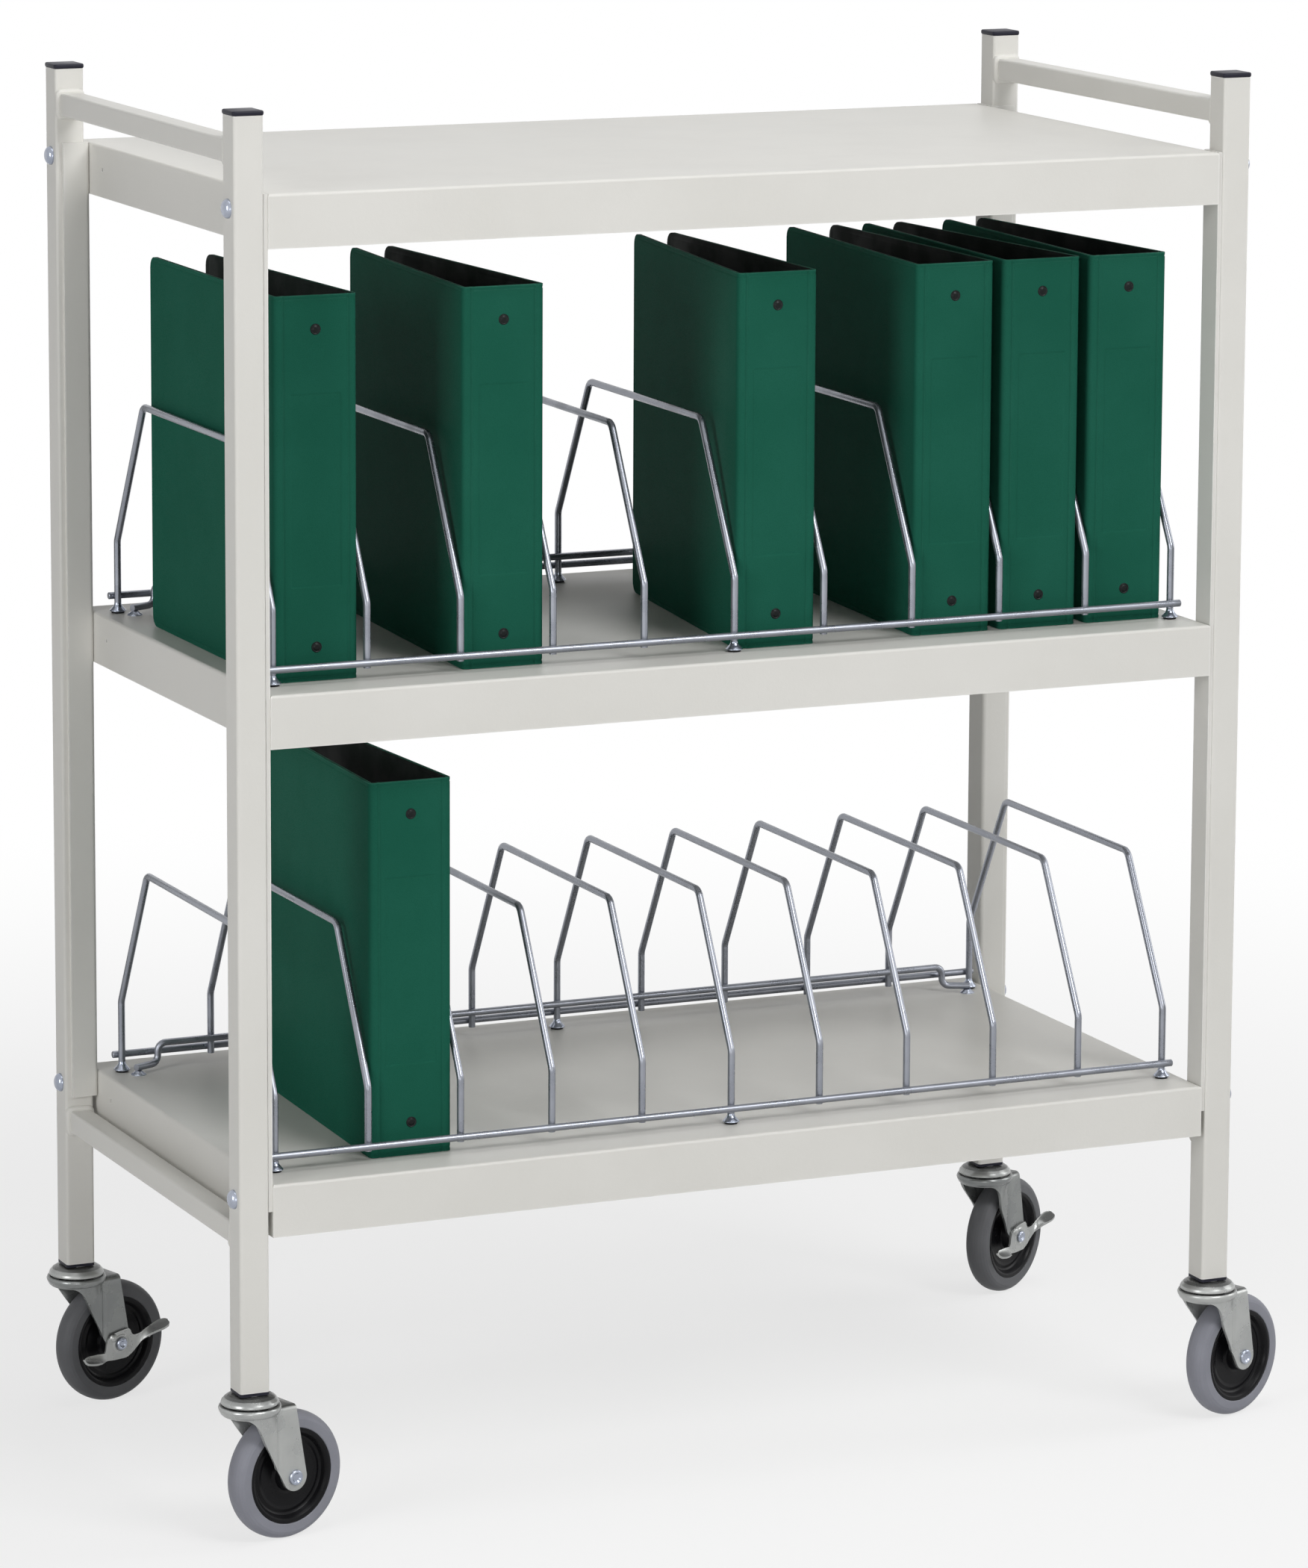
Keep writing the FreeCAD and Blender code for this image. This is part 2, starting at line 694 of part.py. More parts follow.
def make_foot_grommets():
    """Rubber rings that hold the flanges off the shelf's paint."""
    body = new_piece("foot_grommets", x=f"-{RACK_SPAN} / 2", y="-Sizes.foot_reach", z="Sizes.shelf_low")
    ring = add_sketch(body, "ring", "XY_Plane")
    add_circle(ring, "0", "0", "Sizes.grommet_radius")
    add_circle(ring, "0", "0", "Sizes.stud_radius")
    repeat(body, pad(body, ring, "Sizes.grommet_height"), foot_rows())


def make_stud_nuts(label, x, y, rows):
    """Hexagon nuts on the studs, against the underside of the shelves."""
    body = new_piece(label, x=x, y=y, z="Sizes.shelf_low - Sizes.shelf_sheet")
    section = add_sketch(body, "section", "XY_Plane")
    add_hexagon(section, "0", "0", "Sizes.stud_nut_radius")
    add_circle(section, "0", "0", "Sizes.stud_radius")
    nut = pad(body, section, "Sizes.stud_nut_height", backward=True)
    repeat(body, nut, rows)


def rail_foot_rows():
    return [("X", f"2 * {stop_screw_x()}", "2"), ("Z", "Sizes.shelf_pitch", "2")]


def make_rail_feet():
    """Flanged studs under the stepped ends of the stop rails."""
    x, y = f"-1 * {stop_screw_x()}", stop_screw_y()
    body = new_piece("rail_feet", x=x, y=y, z="Sizes.shelf_low")
    profile = add_sketch(body, "profile", "XZ_Plane")
    flange = "Sizes.rail_flange_radius"
    outline = [
        ("0", "2.9"),
        ("Sizes.wire_radius", "2.9"),
        (flange, "Sizes.foot_lip"),
        (flange, "0"),
        ("Sizes.stud_radius", "0"),
        ("Sizes.stud_radius", "-Sizes.stud_length"),
        ("0", "-Sizes.stud_length"),
    ]
    add_outline(profile, outline)
    repeat(body, revolve(body, profile, "V_Axis"), rail_foot_rows())


# ---- casters -----------------------------------------------------------------------------------


def caster_place(corner):
    """A caster's own frame: on the floor below its stem, with +X pointing the way it trails."""
    side, front = CORNERS[corner]
    turn = f"Sizes.swivel_{corner}"
    return {"x": f"{side} * {POST_X}", "y": f"{front} * {POST_Y}", "turn": turn}


def make_caster_plugs():
    """Plastic sockets pressed into the foot of each post, bored for the caster's stem."""
    body = new_piece("caster_plugs", z="Sizes.post_base")
    flanges = add_sketch(body, "flanges", "XY_Plane")
    sleeves = add_sketch(body, "sleeves", "XY_Plane")
    half_flange = "Sizes.post_size / 2"
    half_sleeve = "(Sizes.post_size / 2 - Sizes.post_wall)"
    for x, y in post_centres():
        add_rectangle(flanges, x, y, half_flange, half_flange, "Sizes.post_bend")
        add_circle(flanges, x, y, "Sizes.stem_radius")
        add_rectangle(sleeves, x, y, half_sleeve, half_sleeve, "(Sizes.post_bend - Sizes.post_wall)")
        add_circle(sleeves, x, y, "Sizes.stem_radius")
    pad(body, flanges, "Sizes.plug_flange", backward=True)
    pad(body, sleeves, "Sizes.plug_length")


def caster_rows():
    return [("X", f"2 * {POST_X}", "2"), ("Y", f"2 * {POST_Y}", "2")]


def make_caster_stems():
    """Stem, domed upper raceway and kingpin, turned as one about the swivel axis."""
    body = new_piece("caster_stems", x=f"-1 * {POST_X}", y=f"-1 * {POST_Y}", z="Sizes.post_base")
    profile = add_sketch(body, "profile", "XZ_Plane")
    neck = "Sizes.stem_radius * 2"
    outline = [
        ("0", "Sizes.stem_length"),
        ("Sizes.stem_radius", "Sizes.stem_length"),
        ("Sizes.stem_radius", "-Sizes.plug_flange"),
        (neck, "-Sizes.plug_flange"),
        (neck, "-4.5"),
        ("Sizes.raceway_radius - 7", "-6.5"),
        ("Sizes.raceway_radius", "-11.5"),
        ("Sizes.raceway_radius", "-13.8"),
        ("Sizes.raceway_radius - 2", "-13.8"),
        ("Sizes.raceway_radius - 2", "-12.4"),
        ("Sizes.raceway_radius - 6.2", "-9.7"),
        ("Sizes.kingpin_radius", "-9.7"),
        ("Sizes.kingpin_radius", "-18.3"),
        ("Sizes.kingpin_radius + 3", "-18.3"),
        ("Sizes.kingpin_radius + 3", "-22"),
        ("0", "-22"),
    ]
    add_outline(profile, outline, {5: "6", 6: "1.5"})
    repeat(body, revolve(body, profile, "V_Axis"), caster_rows())


def make_caster_balls():
    """A ring of balls between the upper raceway and the fork's crown, in each caster."""
    place_of_first = {"x": f"-1 * {POST_X}", "y": f"-1 * {POST_Y}", "z": "Sizes.post_base - 11.75"}
    body = new_piece("caster_balls", **place_of_first)
    ball = body.newObject("PartDesign::AdditiveSphere", "ball")
    ball.AttachmentSupport = [(origin_feature(body, "XY_Plane"), "")]
    ball.MapMode = "FlatFace"
    ball.setExpression("Radius", "Sizes.ball_radius")
    ball.setExpression("AttachmentOffset.Base.x", "Sizes.ball_circle")
    document.recompute()
    repeat(body, ball, caster_rows(), turns="Sizes.ball_count")


def make_fork(corner):
    """A pressed yoke: two legs that trail behind the swivel axis, below a crown with a rim."""
    body = new_piece(f"fork_{corner}", **caster_place(corner))
    side_view = add_sketch(body, "side", "XZ_Plane")
    crown_top = "Sizes.post_base - 15.5"
    leg_bottom = "Sizes.wheel_radius - Sizes.leg_round"
    outline = [
        ("-20", crown_top),
        ("Sizes.trail + 0.5", crown_top),
        ("Sizes.trail + Sizes.leg_round + 1", leg_bottom),
        ("Sizes.trail - Sizes.leg_round - 1", leg_bottom),
        ("3", "Sizes.wheel_radius + 32"),
        ("-20", "Sizes.wheel_radius + 51"),
    ]
    bends = {2: "Sizes.leg_round", 3: "Sizes.leg_round * 0.9", 4: "14"}
    add_outline(side_view, outline, bends)
    pad(body, side_view, f"2 * {LEG_FACE}", midplane=True)

    gap = add_sketch(body, "wheel_gap", "XZ_Plane")
    bottom, top = "0", "Sizes.post_base - 15.5 - Sizes.fork_sheet"
    add_outline(gap, [("-60", bottom), ("120", bottom), ("120", top), ("-60", top)])
    cut(body, gap, "Sizes.fork_gap", midplane=True)

    crown = add_sketch(body, "crown", "XZ_Plane", y="Sizes.post_base")
    profile = [
        ("0", "-18"),
        ("0", "-13.8"),
        ("Sizes.raceway_radius - 5.7", "-13.8"),
        ("Sizes.raceway_radius - 4.2", "-15.2"),
        ("Sizes.crown_radius", "-15.2"),
        ("Sizes.crown_radius", "-20.5"),
        ("Sizes.crown_radius - 2.2", "-20.5"),
        ("Sizes.crown_radius - 2.2", "-18"),
    ]
    add_outline(crown, profile, {4: "1.8"})
    revolve(body, crown, "V_Axis")

    kingpin_hole = add_sketch(body, "kingpin_hole", "XY_Plane", z="Sizes.post_base - 16")
    add_circle(kingpin_hole, "0", "0", "Sizes.kingpin_radius + Sizes.running_clearance")
    cut(body, kingpin_hole, "12", midplane=True)
    axle_holes = add_sketch(body, "axle_holes", "XZ_Plane")
    add_circle(axle_holes, "Sizes.trail", "Sizes.wheel_radius", "Sizes.axle_radius")
    cut(body, axle_holes, f"4 * {LEG_FACE}", midplane=True)


def axle_sketch(body, name):
    """A sketch whose origin is the middle of the axle and whose vertical axis is the axle."""
    return add_sketch(body, name, "XY_Plane", x="Sizes.trail", z="Sizes.wheel_radius")


def make_axle(corner):
    """The wheel's axle: a pin with a rounded head outside and a nut inside."""
    body = new_piece(f"axle_{corner}", **caster_place(corner))
    head = LEG_FACE
    if corner in BRAKED_CORNERS:
        head = f"({LEG_FACE} + Sizes.lever_sheet + 2 * Sizes.lever_gap)"
    profile = axle_sketch(body, "profile")
    outline = [
        ("0", f"-1 * {head} - 2.6"),
        ("Sizes.axle_head_radius", f"-1 * {head} - 2.6"),
        ("Sizes.axle_head_radius", f"-1 * {head}"),
        ("Sizes.axle_radius", f"-1 * {head}"),
        ("Sizes.axle_radius", LEG_FACE),
        ("Sizes.axle_head_radius + 1", LEG_FACE),
        ("Sizes.axle_head_radius + 1", f"{LEG_FACE} + 4.5"),
        ("0", f"{LEG_FACE} + 4.5"),
    ]
    add_outline(profile, outline, {1: "1.6", 6: "1.6"})
    revolve(body, profile, "V_Axis")


def make_hub(corner):
    """A moulded hub: a rim, a thin web with a raised ring, and a boss bored for the axle."""
    body = new_piece(f"hub_{corner}", **caster_place(corner))
    face = "(Sizes.wheel_width / 2 - 1)"
    half = [
        ("Sizes.axle_radius + Sizes.running_clearance", "Sizes.hub_half_length"),
        ("12", "Sizes.hub_half_length"),
        ("13", "4.5"),
        ("24", "4"),
        ("24.5", "5.4"),
        ("26.5", "5.4"),
        ("27", "4"),
        ("Sizes.hub_radius - 5", "4.5"),
        ("Sizes.hub_radius - 4", face),
        ("Sizes.hub_radius", face),
    ]
    other_half = [(radius, f"-1 * {width}") for radius, width in reversed(half)]
    profile = axle_sketch(body, "profile")
    add_outline(profile, half + other_half)
    revolve(body, profile, "V_Axis")


def make_tyre(corner):
    body = new_piece(f"tyre_{corner}", **caster_place(corner))
    half = "(Sizes.wheel_width / 2)"
    outline = [
        ("Sizes.hub_radius", f"-1 * {half}"),
        ("Sizes.wheel_radius", f"-1 * {half}"),
        ("Sizes.wheel_radius", half),
        ("Sizes.hub_radius", half),
    ]
    profile = axle_sketch(body, "profile")
    add_outline(profile, outline, {1: "Sizes.tread_round", 2: "Sizes.tread_round"})
    revolve(body, profile, "V_Axis")


def make_brake_lever(corner):
    """A rocking brake lever on the axle's outer end, with a pedal behind and a toe in front."""
    body = new_piece(f"brake_lever_{corner}", **caster_place(corner))
    inner_face = f"{LEG_FACE} + Sizes.lever_gap"

    # Points are given from the axle: rearward, then upward.
    def from_axle(rearward, upward):
        return f"Sizes.trail + {rearward}", f"Sizes.wheel_radius + {upward}"

    plate = add_sketch(body, "plate", "XZ_Plane", z=inner_face)
    outline = [
        from_axle(-15, 5),
        from_axle(-9, 9),
        from_axle(8.5, 9.5),
        from_axle(10.5, 4),
        from_axle(25, 5),
        from_axle(46.5, 13.5),
        from_axle(46.5, 11),
        from_axle(26, 0),
        from_axle(8, -13.5),
        from_axle(-6, -16),
        from_axle(-40, -14.5),
        from_axle(-40, -11),
        from_axle(-16, -8.5),
    ]
    bends = {0: "3", 1: "3", 3: "2", 4: "25", 7: "20", 8: "12", 9: "12", 10: "1.5", 11: "1.5", 12: "2"}
    add_outline(plate, outline, bends)
    pad(body, plate, "Sizes.lever_sheet")

    # The pedal and the toe are the plate's lower edge, turned outward.
    pedal = [from_axle(24, -1), from_axle(46.5, 11), from_axle(46.5, 13), from_axle(24, 1)]
    toe = [from_axle(-40, -14.5), from_axle(-14, -15.6), from_axle(-14, -13.6), from_axle(-40, -12.5)]
    for name, corners, reach in (("pedal", pedal, "Sizes.pedal_reach"), ("toe", toe, "Sizes.toe_reach")):
        strip = add_sketch(body, name, "XZ_Plane", z=inner_face)
        add_outline(strip, corners)
        pad(body, strip, reach)

    bore = add_sketch(body, "bore", "XZ_Plane")
    add_circle(bore, "Sizes.trail", "Sizes.wheel_radius", "Sizes.axle_radius + Sizes.running_clearance")
    cut(body, bore, f"4 * {LEG_FACE}", midplane=True)


def make_caster(corner):
    make_fork(corner)
    make_axle(corner)
    make_hub(corner)
    make_tyre(corner)
    if corner in BRAKED_CORNERS:
        make_brake_lever(corner)


# ---- binders -----------------------------------------------------------------------------------


def make_binder_cover(label, left_lean, right_lean):
    """Spine and two boards folded from one sheet, seen from above as a U open to the rear."""
    body = new_body(f"{label}_cover")
    half, board, length = "Sizes.binder_width / 2", "Sizes.binder_board", "Sizes.binder_length"
    outline = [
        (f"-{half}", "0"),
        (half, "0"),
        (f"{half} - {right_lean}", length),
        (f"{half} - {right_lean} - {board}", length),
        (f"{half} - {board}", board),
        (f"-{half} + {board}", board),
        (f"-{half} + {left_lean} + {board}", length),
        (f"-{half} + {left_lean}", length),
    ]
    section = add_sketch(body, "section", "XY_Plane")
    add_outline(section, outline, {0: "Sizes.binder_fold", 1: "Sizes.binder_fold"})
    cover = pad(body, section, "Sizes.binder_height")
    rear = DRIVING_SIZES["binder_length"]

    def is_rear_corner(edge):
        box = edge.BoundBox
        return box.YMin > rear - 1e-3 and box.ZLength < 1e-3

    round_edges(body, cover, "Sizes.binder_corner", is_rear_corner)
    holes = add_sketch(body, "rivet_holes", "XZ_Plane")
    for end in (-1, 1):
        height = f"Sizes.binder_height / 2 + {end} * Sizes.rivet_spacing / 2"
        add_circle(holes, "0", height, "Sizes.rivet_radius")
    cut(body, holes, f"4 * {board}", midplane=True)
    return body


def make_ring_metal(label):
    """The ring mechanism: a plate riveted inside the spine, with three rings."""
    body = new_body(f"{label}_rings")
    middle = "Sizes.binder_height / 2"
    plate = add_sketch(body, "plate", "XZ_Plane", z="-Sizes.binder_board")
    add_rectangle(plate, "0", middle, "(Sizes.ring_plate_width / 2)", "(Sizes.ring_plate_height / 2)")
    pad(body, plate, "Sizes.binder_board", backward=True)
    shanks = add_sketch(body, "shanks", "XZ_Plane", z="-Sizes.binder_board")
    heads = add_sketch(body, "heads", "XZ_Plane")
    for end in (-1, 1):
        height = f"{middle} + {end} * Sizes.rivet_spacing / 2"
        add_circle(shanks, "0", height, "Sizes.rivet_radius")
        add_circle(heads, "0", height, "Sizes.rivet_head_radius")
    pad(body, shanks, "Sizes.binder_board")
    pad(body, heads, "0.8")
    for step in (-1, 0, 1):
        ring = body.newObject("PartDesign::AdditiveTorus", f"{body.Name}_ring_{step + 1}")
        ring.AttachmentSupport = [(origin_feature(body, "XY_Plane"), "")]
        ring.MapMode = "FlatFace"
        ring.setExpression("Radius1", "Sizes.ring_radius")
        ring.setExpression("Radius2", "Sizes.ring_wire")
        ring.setExpression("AttachmentOffset.Base.y", "1.5 * Sizes.binder_board + Sizes.ring_radius")
        ring.setExpression("AttachmentOffset.Base.z", f"{middle} + {step} * Sizes.ring_spacing")
    return body


def make_binder(label, rack, slot, left_lean, right_lean):
    binder = document.addObject("Part::Compound", label)
    binder.Label = label
    binder.Links = [make_binder_cover(label, left_lean, right_lean), make_ring_metal(label)]
    slot_middle = f"({slot} - 0.5) * Sizes.slot_pitch - {RACK_SPAN} / 2"
    place(binder, slot_middle, "-Sizes.binder_setback", f"{rack_height(rack)} + Sizes.binder_lift")
    pieces.append(binder)


# ---- the whole rack ----------------------------------------------------------------------------


def build():
    fill_sheet()
    for corner, signs in CORNERS.items():
        make_post(corner, signs)
        make_angle(corner, signs)
    for name, side in (("left", -1), ("right", 1)):
        make_rail(f"handle_{name}", side, f"{POST_TOP} - Sizes.handle_drop - Sizes.rail_size / 2")
        cross_rail_height = "Sizes.shelf_low - Sizes.cross_rail_drop - Sizes.rail_size / 2"
        make_rail(f"cross_rail_{name}", side, cross_rail_height)
    make_post_caps()
    make_frame_bolts()
    make_frame_nuts()
    make_shelf("shelf_bottom", 0, studs=True)
    make_shelf("shelf_middle", 1, studs=True)
    make_shelf("shelf_top", 2, studs=False)
    for name in RACK_LEVELS:
        make_dividers(name)
        make_rod(f"front_rod_{name}", name, -1)
        make_rod(f"rear_rod_{name}", name, 1)
        make_stop_rail(name)
    make_rack_feet()
    make_foot_grommets()
    make_rail_feet()
    make_stud_nuts("foot_nuts", f"-{RACK_SPAN} / 2", "-Sizes.foot_reach", foot_rows())
    make_stud_nuts("rail_nuts", f"-1 * {stop_screw_x()}", stop_screw_y(), rail_foot_rows())
    make_caster_plugs()
    make_caster_stems()
    make_caster_balls()
    for corner in CORNERS:
        make_caster(corner)
    for label, (rack, slot, left_lean, right_lean) in BINDERS.items():
        make_binder(label, rack, slot, left_lean, right_lean)
    document.recompute()


def check_document():
    for item in document.Objects:
        failed = {"Invalid", "Error"} & set(item.State)
        if failed:
            raise RuntimeError(f"{item.Name} is {', '.join(failed)}")
    for piece in pieces:
        if piece.Shape.isNull() or not piece.Shape.isValid():
            raise RuntimeError(f"{piece.Label} has no valid shape")


def export_pieces():
    os.makedirs("parts", exist_ok=True)
    for piece in pieces:
        piece.Shape.exportStep(f"parts/{piece.Label}.step")
    print(f"{len(pieces)} pieces, {sum(len(piece.Shape.Solids) for piece in pieces)} solids")


build()
check_document()
export_pieces()
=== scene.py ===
import json
import math

import bmesh
import bpy
from mathutils import Matrix, Vector


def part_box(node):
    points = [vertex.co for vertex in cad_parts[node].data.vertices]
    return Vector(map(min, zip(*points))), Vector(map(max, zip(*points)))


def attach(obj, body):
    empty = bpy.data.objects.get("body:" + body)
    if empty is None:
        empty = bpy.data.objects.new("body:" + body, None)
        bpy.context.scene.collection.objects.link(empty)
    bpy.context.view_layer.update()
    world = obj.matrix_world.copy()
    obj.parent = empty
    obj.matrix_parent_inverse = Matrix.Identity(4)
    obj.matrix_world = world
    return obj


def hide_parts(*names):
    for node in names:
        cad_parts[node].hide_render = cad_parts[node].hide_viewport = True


# Medical chart rack: the finishes, wire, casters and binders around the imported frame.
# Metres, +Z up, +X to the right seen from the front, +Y to the rear.

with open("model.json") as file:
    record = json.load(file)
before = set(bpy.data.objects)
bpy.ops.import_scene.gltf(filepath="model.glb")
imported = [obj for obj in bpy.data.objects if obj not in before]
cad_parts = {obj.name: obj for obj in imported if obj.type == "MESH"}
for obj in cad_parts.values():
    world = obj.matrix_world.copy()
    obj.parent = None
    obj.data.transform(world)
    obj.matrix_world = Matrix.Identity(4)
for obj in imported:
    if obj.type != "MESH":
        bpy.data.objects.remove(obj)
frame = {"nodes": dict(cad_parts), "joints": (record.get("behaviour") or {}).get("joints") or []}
nodes = frame["nodes"]
joints = {joint["name"]: joint for joint in frame["joints"]}
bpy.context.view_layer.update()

CORNERS = ("front_left", "front_right", "rear_left", "rear_right")
BRAKED_CORNERS = ("rear_left", "rear_right")
RACKS = ("bottom", "middle")


# ---- node trees --------------------------------------------------------------------------------


class Tree:
    """Short calls that add nodes to one node tree and link them."""

    def __init__(self, tree):
        self.tree = tree

    def add(self, kind, inputs=None, **settings):
        node = self.tree.nodes.new(kind)
        for name, value in settings.items():
            setattr(node, name, value)
        for name, value in (inputs or {}).items():
            self.feed(node.inputs[name], value)
        return node

    def feed(self, socket, value):
        if isinstance(value, bpy.types.NodeSocket):
            self.tree.links.new(value, socket)
        else:
            socket.default_value = value

    def math(self, operation, first, second=0.0):
        node = self.add("ShaderNodeMath", {0: first, 1: second}, operation=operation)
        return node.outputs[0]

    def noise(self, vector, scale, detail=3.0, roughness=0.5):
        inputs = {"Vector": vector, "Scale": scale, "Detail": detail, "Roughness": roughness}
        return self.add("ShaderNodeTexNoise", inputs).outputs["Fac"]

    def remap(self, value, low, high, to_low=0.0, to_high=1.0):
        inputs = {"Value": value, "From Min": low, "From Max": high, "To Min": to_low, "To Max": to_high}
        return self.add("ShaderNodeMapRange", inputs, interpolation_type="SMOOTHSTEP").outputs[0]

    def mix_color(self, factor, first, second):
        inputs = {0: factor, 6: first, 7: second}
        return self.add("ShaderNodeMix", inputs, data_type="RGBA").outputs[2]

    def bump(self, height, strength, distance):
        inputs = {"Height": height, "Strength": strength, "Distance": distance}
        return self.add("ShaderNodeBump", inputs).outputs["Normal"]


def new_group(name, kind, inputs, outputs):
    """A node group with named inputs and outputs, and its Tree, input node and output node."""
    group = bpy.data.node_groups.new(name, kind)
    for label, socket_kind, default in inputs:
        socket = group.interface.new_socket(label, in_out="INPUT", socket_type=socket_kind)
        if default is not None:
            socket.default_value = default
    for label, socket_kind in outputs:
        group.interface.new_socket(label, in_out="OUTPUT", socket_type=socket_kind)
    tree = Tree(group)
    return group, tree, tree.add("NodeGroupInput").outputs, tree.add("NodeGroupOutput").inputs


# ---- shared surface effects --------------------------------------------------------------------


def make_grain_group():
    """Fine relief on a surface, and a slow mottle that varies over a hand's width."""
    inputs = [
        ("Vector", "NodeSocketVector", None),
        ("Fine Scale", "NodeSocketFloat", 600.0),
        ("Mottle Scale", "NodeSocketFloat", 9.0),
    ]
    outputs = [("Relief", "NodeSocketFloat"), ("Mottle", "NodeSocketFloat")]
    group, tree, given, result = new_group("surface_grain", "ShaderNodeTree", inputs, outputs)
    fine = tree.noise(given["Vector"], given["Fine Scale"], 2.0, 0.6)
    coarse_scale = tree.math("MULTIPLY", given["Fine Scale"], 0.28)
    coarse = tree.noise(given["Vector"], coarse_scale, 2.0)
    tree.feed(result["Relief"], tree.math("ADD", tree.math("MULTIPLY", fine, 0.6), coarse))
    mottle = tree.noise(given["Vector"], given["Mottle Scale"], 4.0, 0.55)
    tree.feed(result["Mottle"], tree.remap(mottle, 0.3, 0.7))
    return group


def make_edge_group():
    """A mask of the outer edges, broken up so that no edge is marked all along: wear on metal and plastic,
    a painted highlight with some wear on the powder coat and the vinyl.
    """
    inputs = [("Vector", "NodeSocketVector", None), ("Width", "NodeSocketFloat", 0.001)]
    group, tree, given, result = new_group(
        "edge_wear_and_highlight", "ShaderNodeTree", inputs, [("Mask", "NodeSocketFloat")]
    )
    rounded = tree.add("ShaderNodeBevel", {"Radius": given["Width"]}, samples=4).outputs[0]
    normal = tree.add("ShaderNodeNewGeometry").outputs["Normal"]
    alike = tree.add("ShaderNodeVectorMath", {0: rounded, 1: normal}, operation="DOT_PRODUCT")
    edge = tree.remap(alike.outputs["Value"], 0.995, 0.86)
    patches = tree.remap(tree.noise(given["Vector"], 35.0, 3.0), 0.35, 0.65, 0.35, 1.0)
    tree.feed(result["Mask"], tree.math("MULTIPLY", edge, patches))
    return group


def make_dust_group():
    """A mask of settled dust on faces that look up, in soft uneven drifts."""
    inputs = [("Vector", "NodeSocketVector", None), ("Amount", "NodeSocketFloat", 0.5)]
    group, tree, given, result = new_group(
        "settled_dust", "ShaderNodeTree", inputs, [("Mask", "NodeSocketFloat")]
    )
    normal = tree.add("ShaderNodeNewGeometry").outputs["Normal"]
    upward = tree.add("ShaderNodeSeparateXYZ", {"Vector": normal}).outputs["Z"]
    drifts = tree.remap(tree.noise(given["Vector"], 14.0, 5.0, 0.65), 0.35, 0.75)
    facing = tree.remap(upward, 0.3, 0.95)
    dusty = tree.math("MULTIPLY", facing, drifts)
    tree.feed(result["Mask"], tree.math("MULTIPLY", dusty, given["Amount"]))
    return group


def make_dark_reflection_group():
    """A mask of faces that look up, made uneven by noise: where a painted dark reflection goes."""
    inputs = [("Vector", "NodeSocketVector", None), ("Amount", "NodeSocketFloat", 0.5)]
    group, tree, given, result = new_group(
        "painted_dark_reflection", "ShaderNodeTree", inputs, [("Mask", "NodeSocketFloat")]
    )
    normal = tree.add("ShaderNodeNewGeometry").outputs["Normal"]
    upward = tree.add("ShaderNodeSeparateXYZ", {"Vector": normal}).outputs["Z"]
    uneven = tree.math("MULTIPLY", tree.noise(given["Vector"], 60.0, 3.0), 0.25)
    facing = tree.remap(tree.math("ADD", upward, uneven), 0.68, 1.02)
    tree.feed(result["Mask"], tree.math("MULTIPLY", facing, given["Amount"]))
    return group


GRAIN = make_grain_group()
EDGE_WEAR_AND_HIGHLIGHT = make_edge_group()
DUST = make_dust_group()
PAINTED_DARK_REFLECTION = make_dark_reflection_group()


# ---- materials ---------------------------------------------------------------------------------


class Finish:
    """One material: a Principled shader, Object coordinates, and the shared effects."""

    def __init__(self, name, **plain):
        self.material = bpy.data.materials.new(name)
        self.material.use_nodes = True
        self.tree = Tree(self.material.node_tree)
        self.shader = self.material.node_tree.nodes["Principled BSDF"]
        for label, value in plain.items():
            self.shader.inputs[label.replace("_", " ")].default_value = value
        self.place = self.tree.add("ShaderNodeTexCoord").outputs["Object"]

    def effect(self, group, **inputs):
        node = self.tree.add("ShaderNodeGroup", node_tree=group)
        self.tree.feed(node.inputs["Vector"], self.place)
        for label, value in inputs.items():
            node.inputs[label.replace("_", " ")].default_value = value
        return node.outputs

    def set(self, label, value):
        self.tree.feed(self.shader.inputs[label], value)


def rgb(red, green, blue):
    return (red, green, blue, 1.0)


def shade_of(color, factor):
    return rgb(*(min(0.9, factor * part) for part in color[:3]))


def make_frame_paint():
    """Cream powder coat: a faint pebble, paler at bends as a painted highlight with some edge wear, and a
    little dust on the flats.
    """
    finish = Finish("frame_powder_coat", Specular_IOR_Level=0.25)
    tree = finish.tree
    grain = finish.effect(GRAIN, Fine_Scale=900.0, Mottle_Scale=5.0)
    edges = finish.effect(EDGE_WEAR_AND_HIGHLIGHT, Width=0.0020)["Mask"]
    dust = finish.effect(DUST, Amount=0.35)["Mask"]
    cream = tree.mix_color(grain["Mottle"], rgb(0.700, 0.690, 0.652), rgb(0.735, 0.725, 0.690))
    # Bends turn near white: a painted highlight, partly edge wear.
    edged = tree.mix_color(edges, cream, rgb(0.86, 0.85, 0.83))
    finish.set("Base Color", tree.mix_color(dust, edged, rgb(0.66, 0.65, 0.62)))
    finish.set("Roughness", tree.remap(grain["Mottle"], 0.0, 1.0, 0.36, 0.46))
    finish.set("Normal", tree.bump(grain["Relief"], 0.22, 0.0003))
    return finish.material


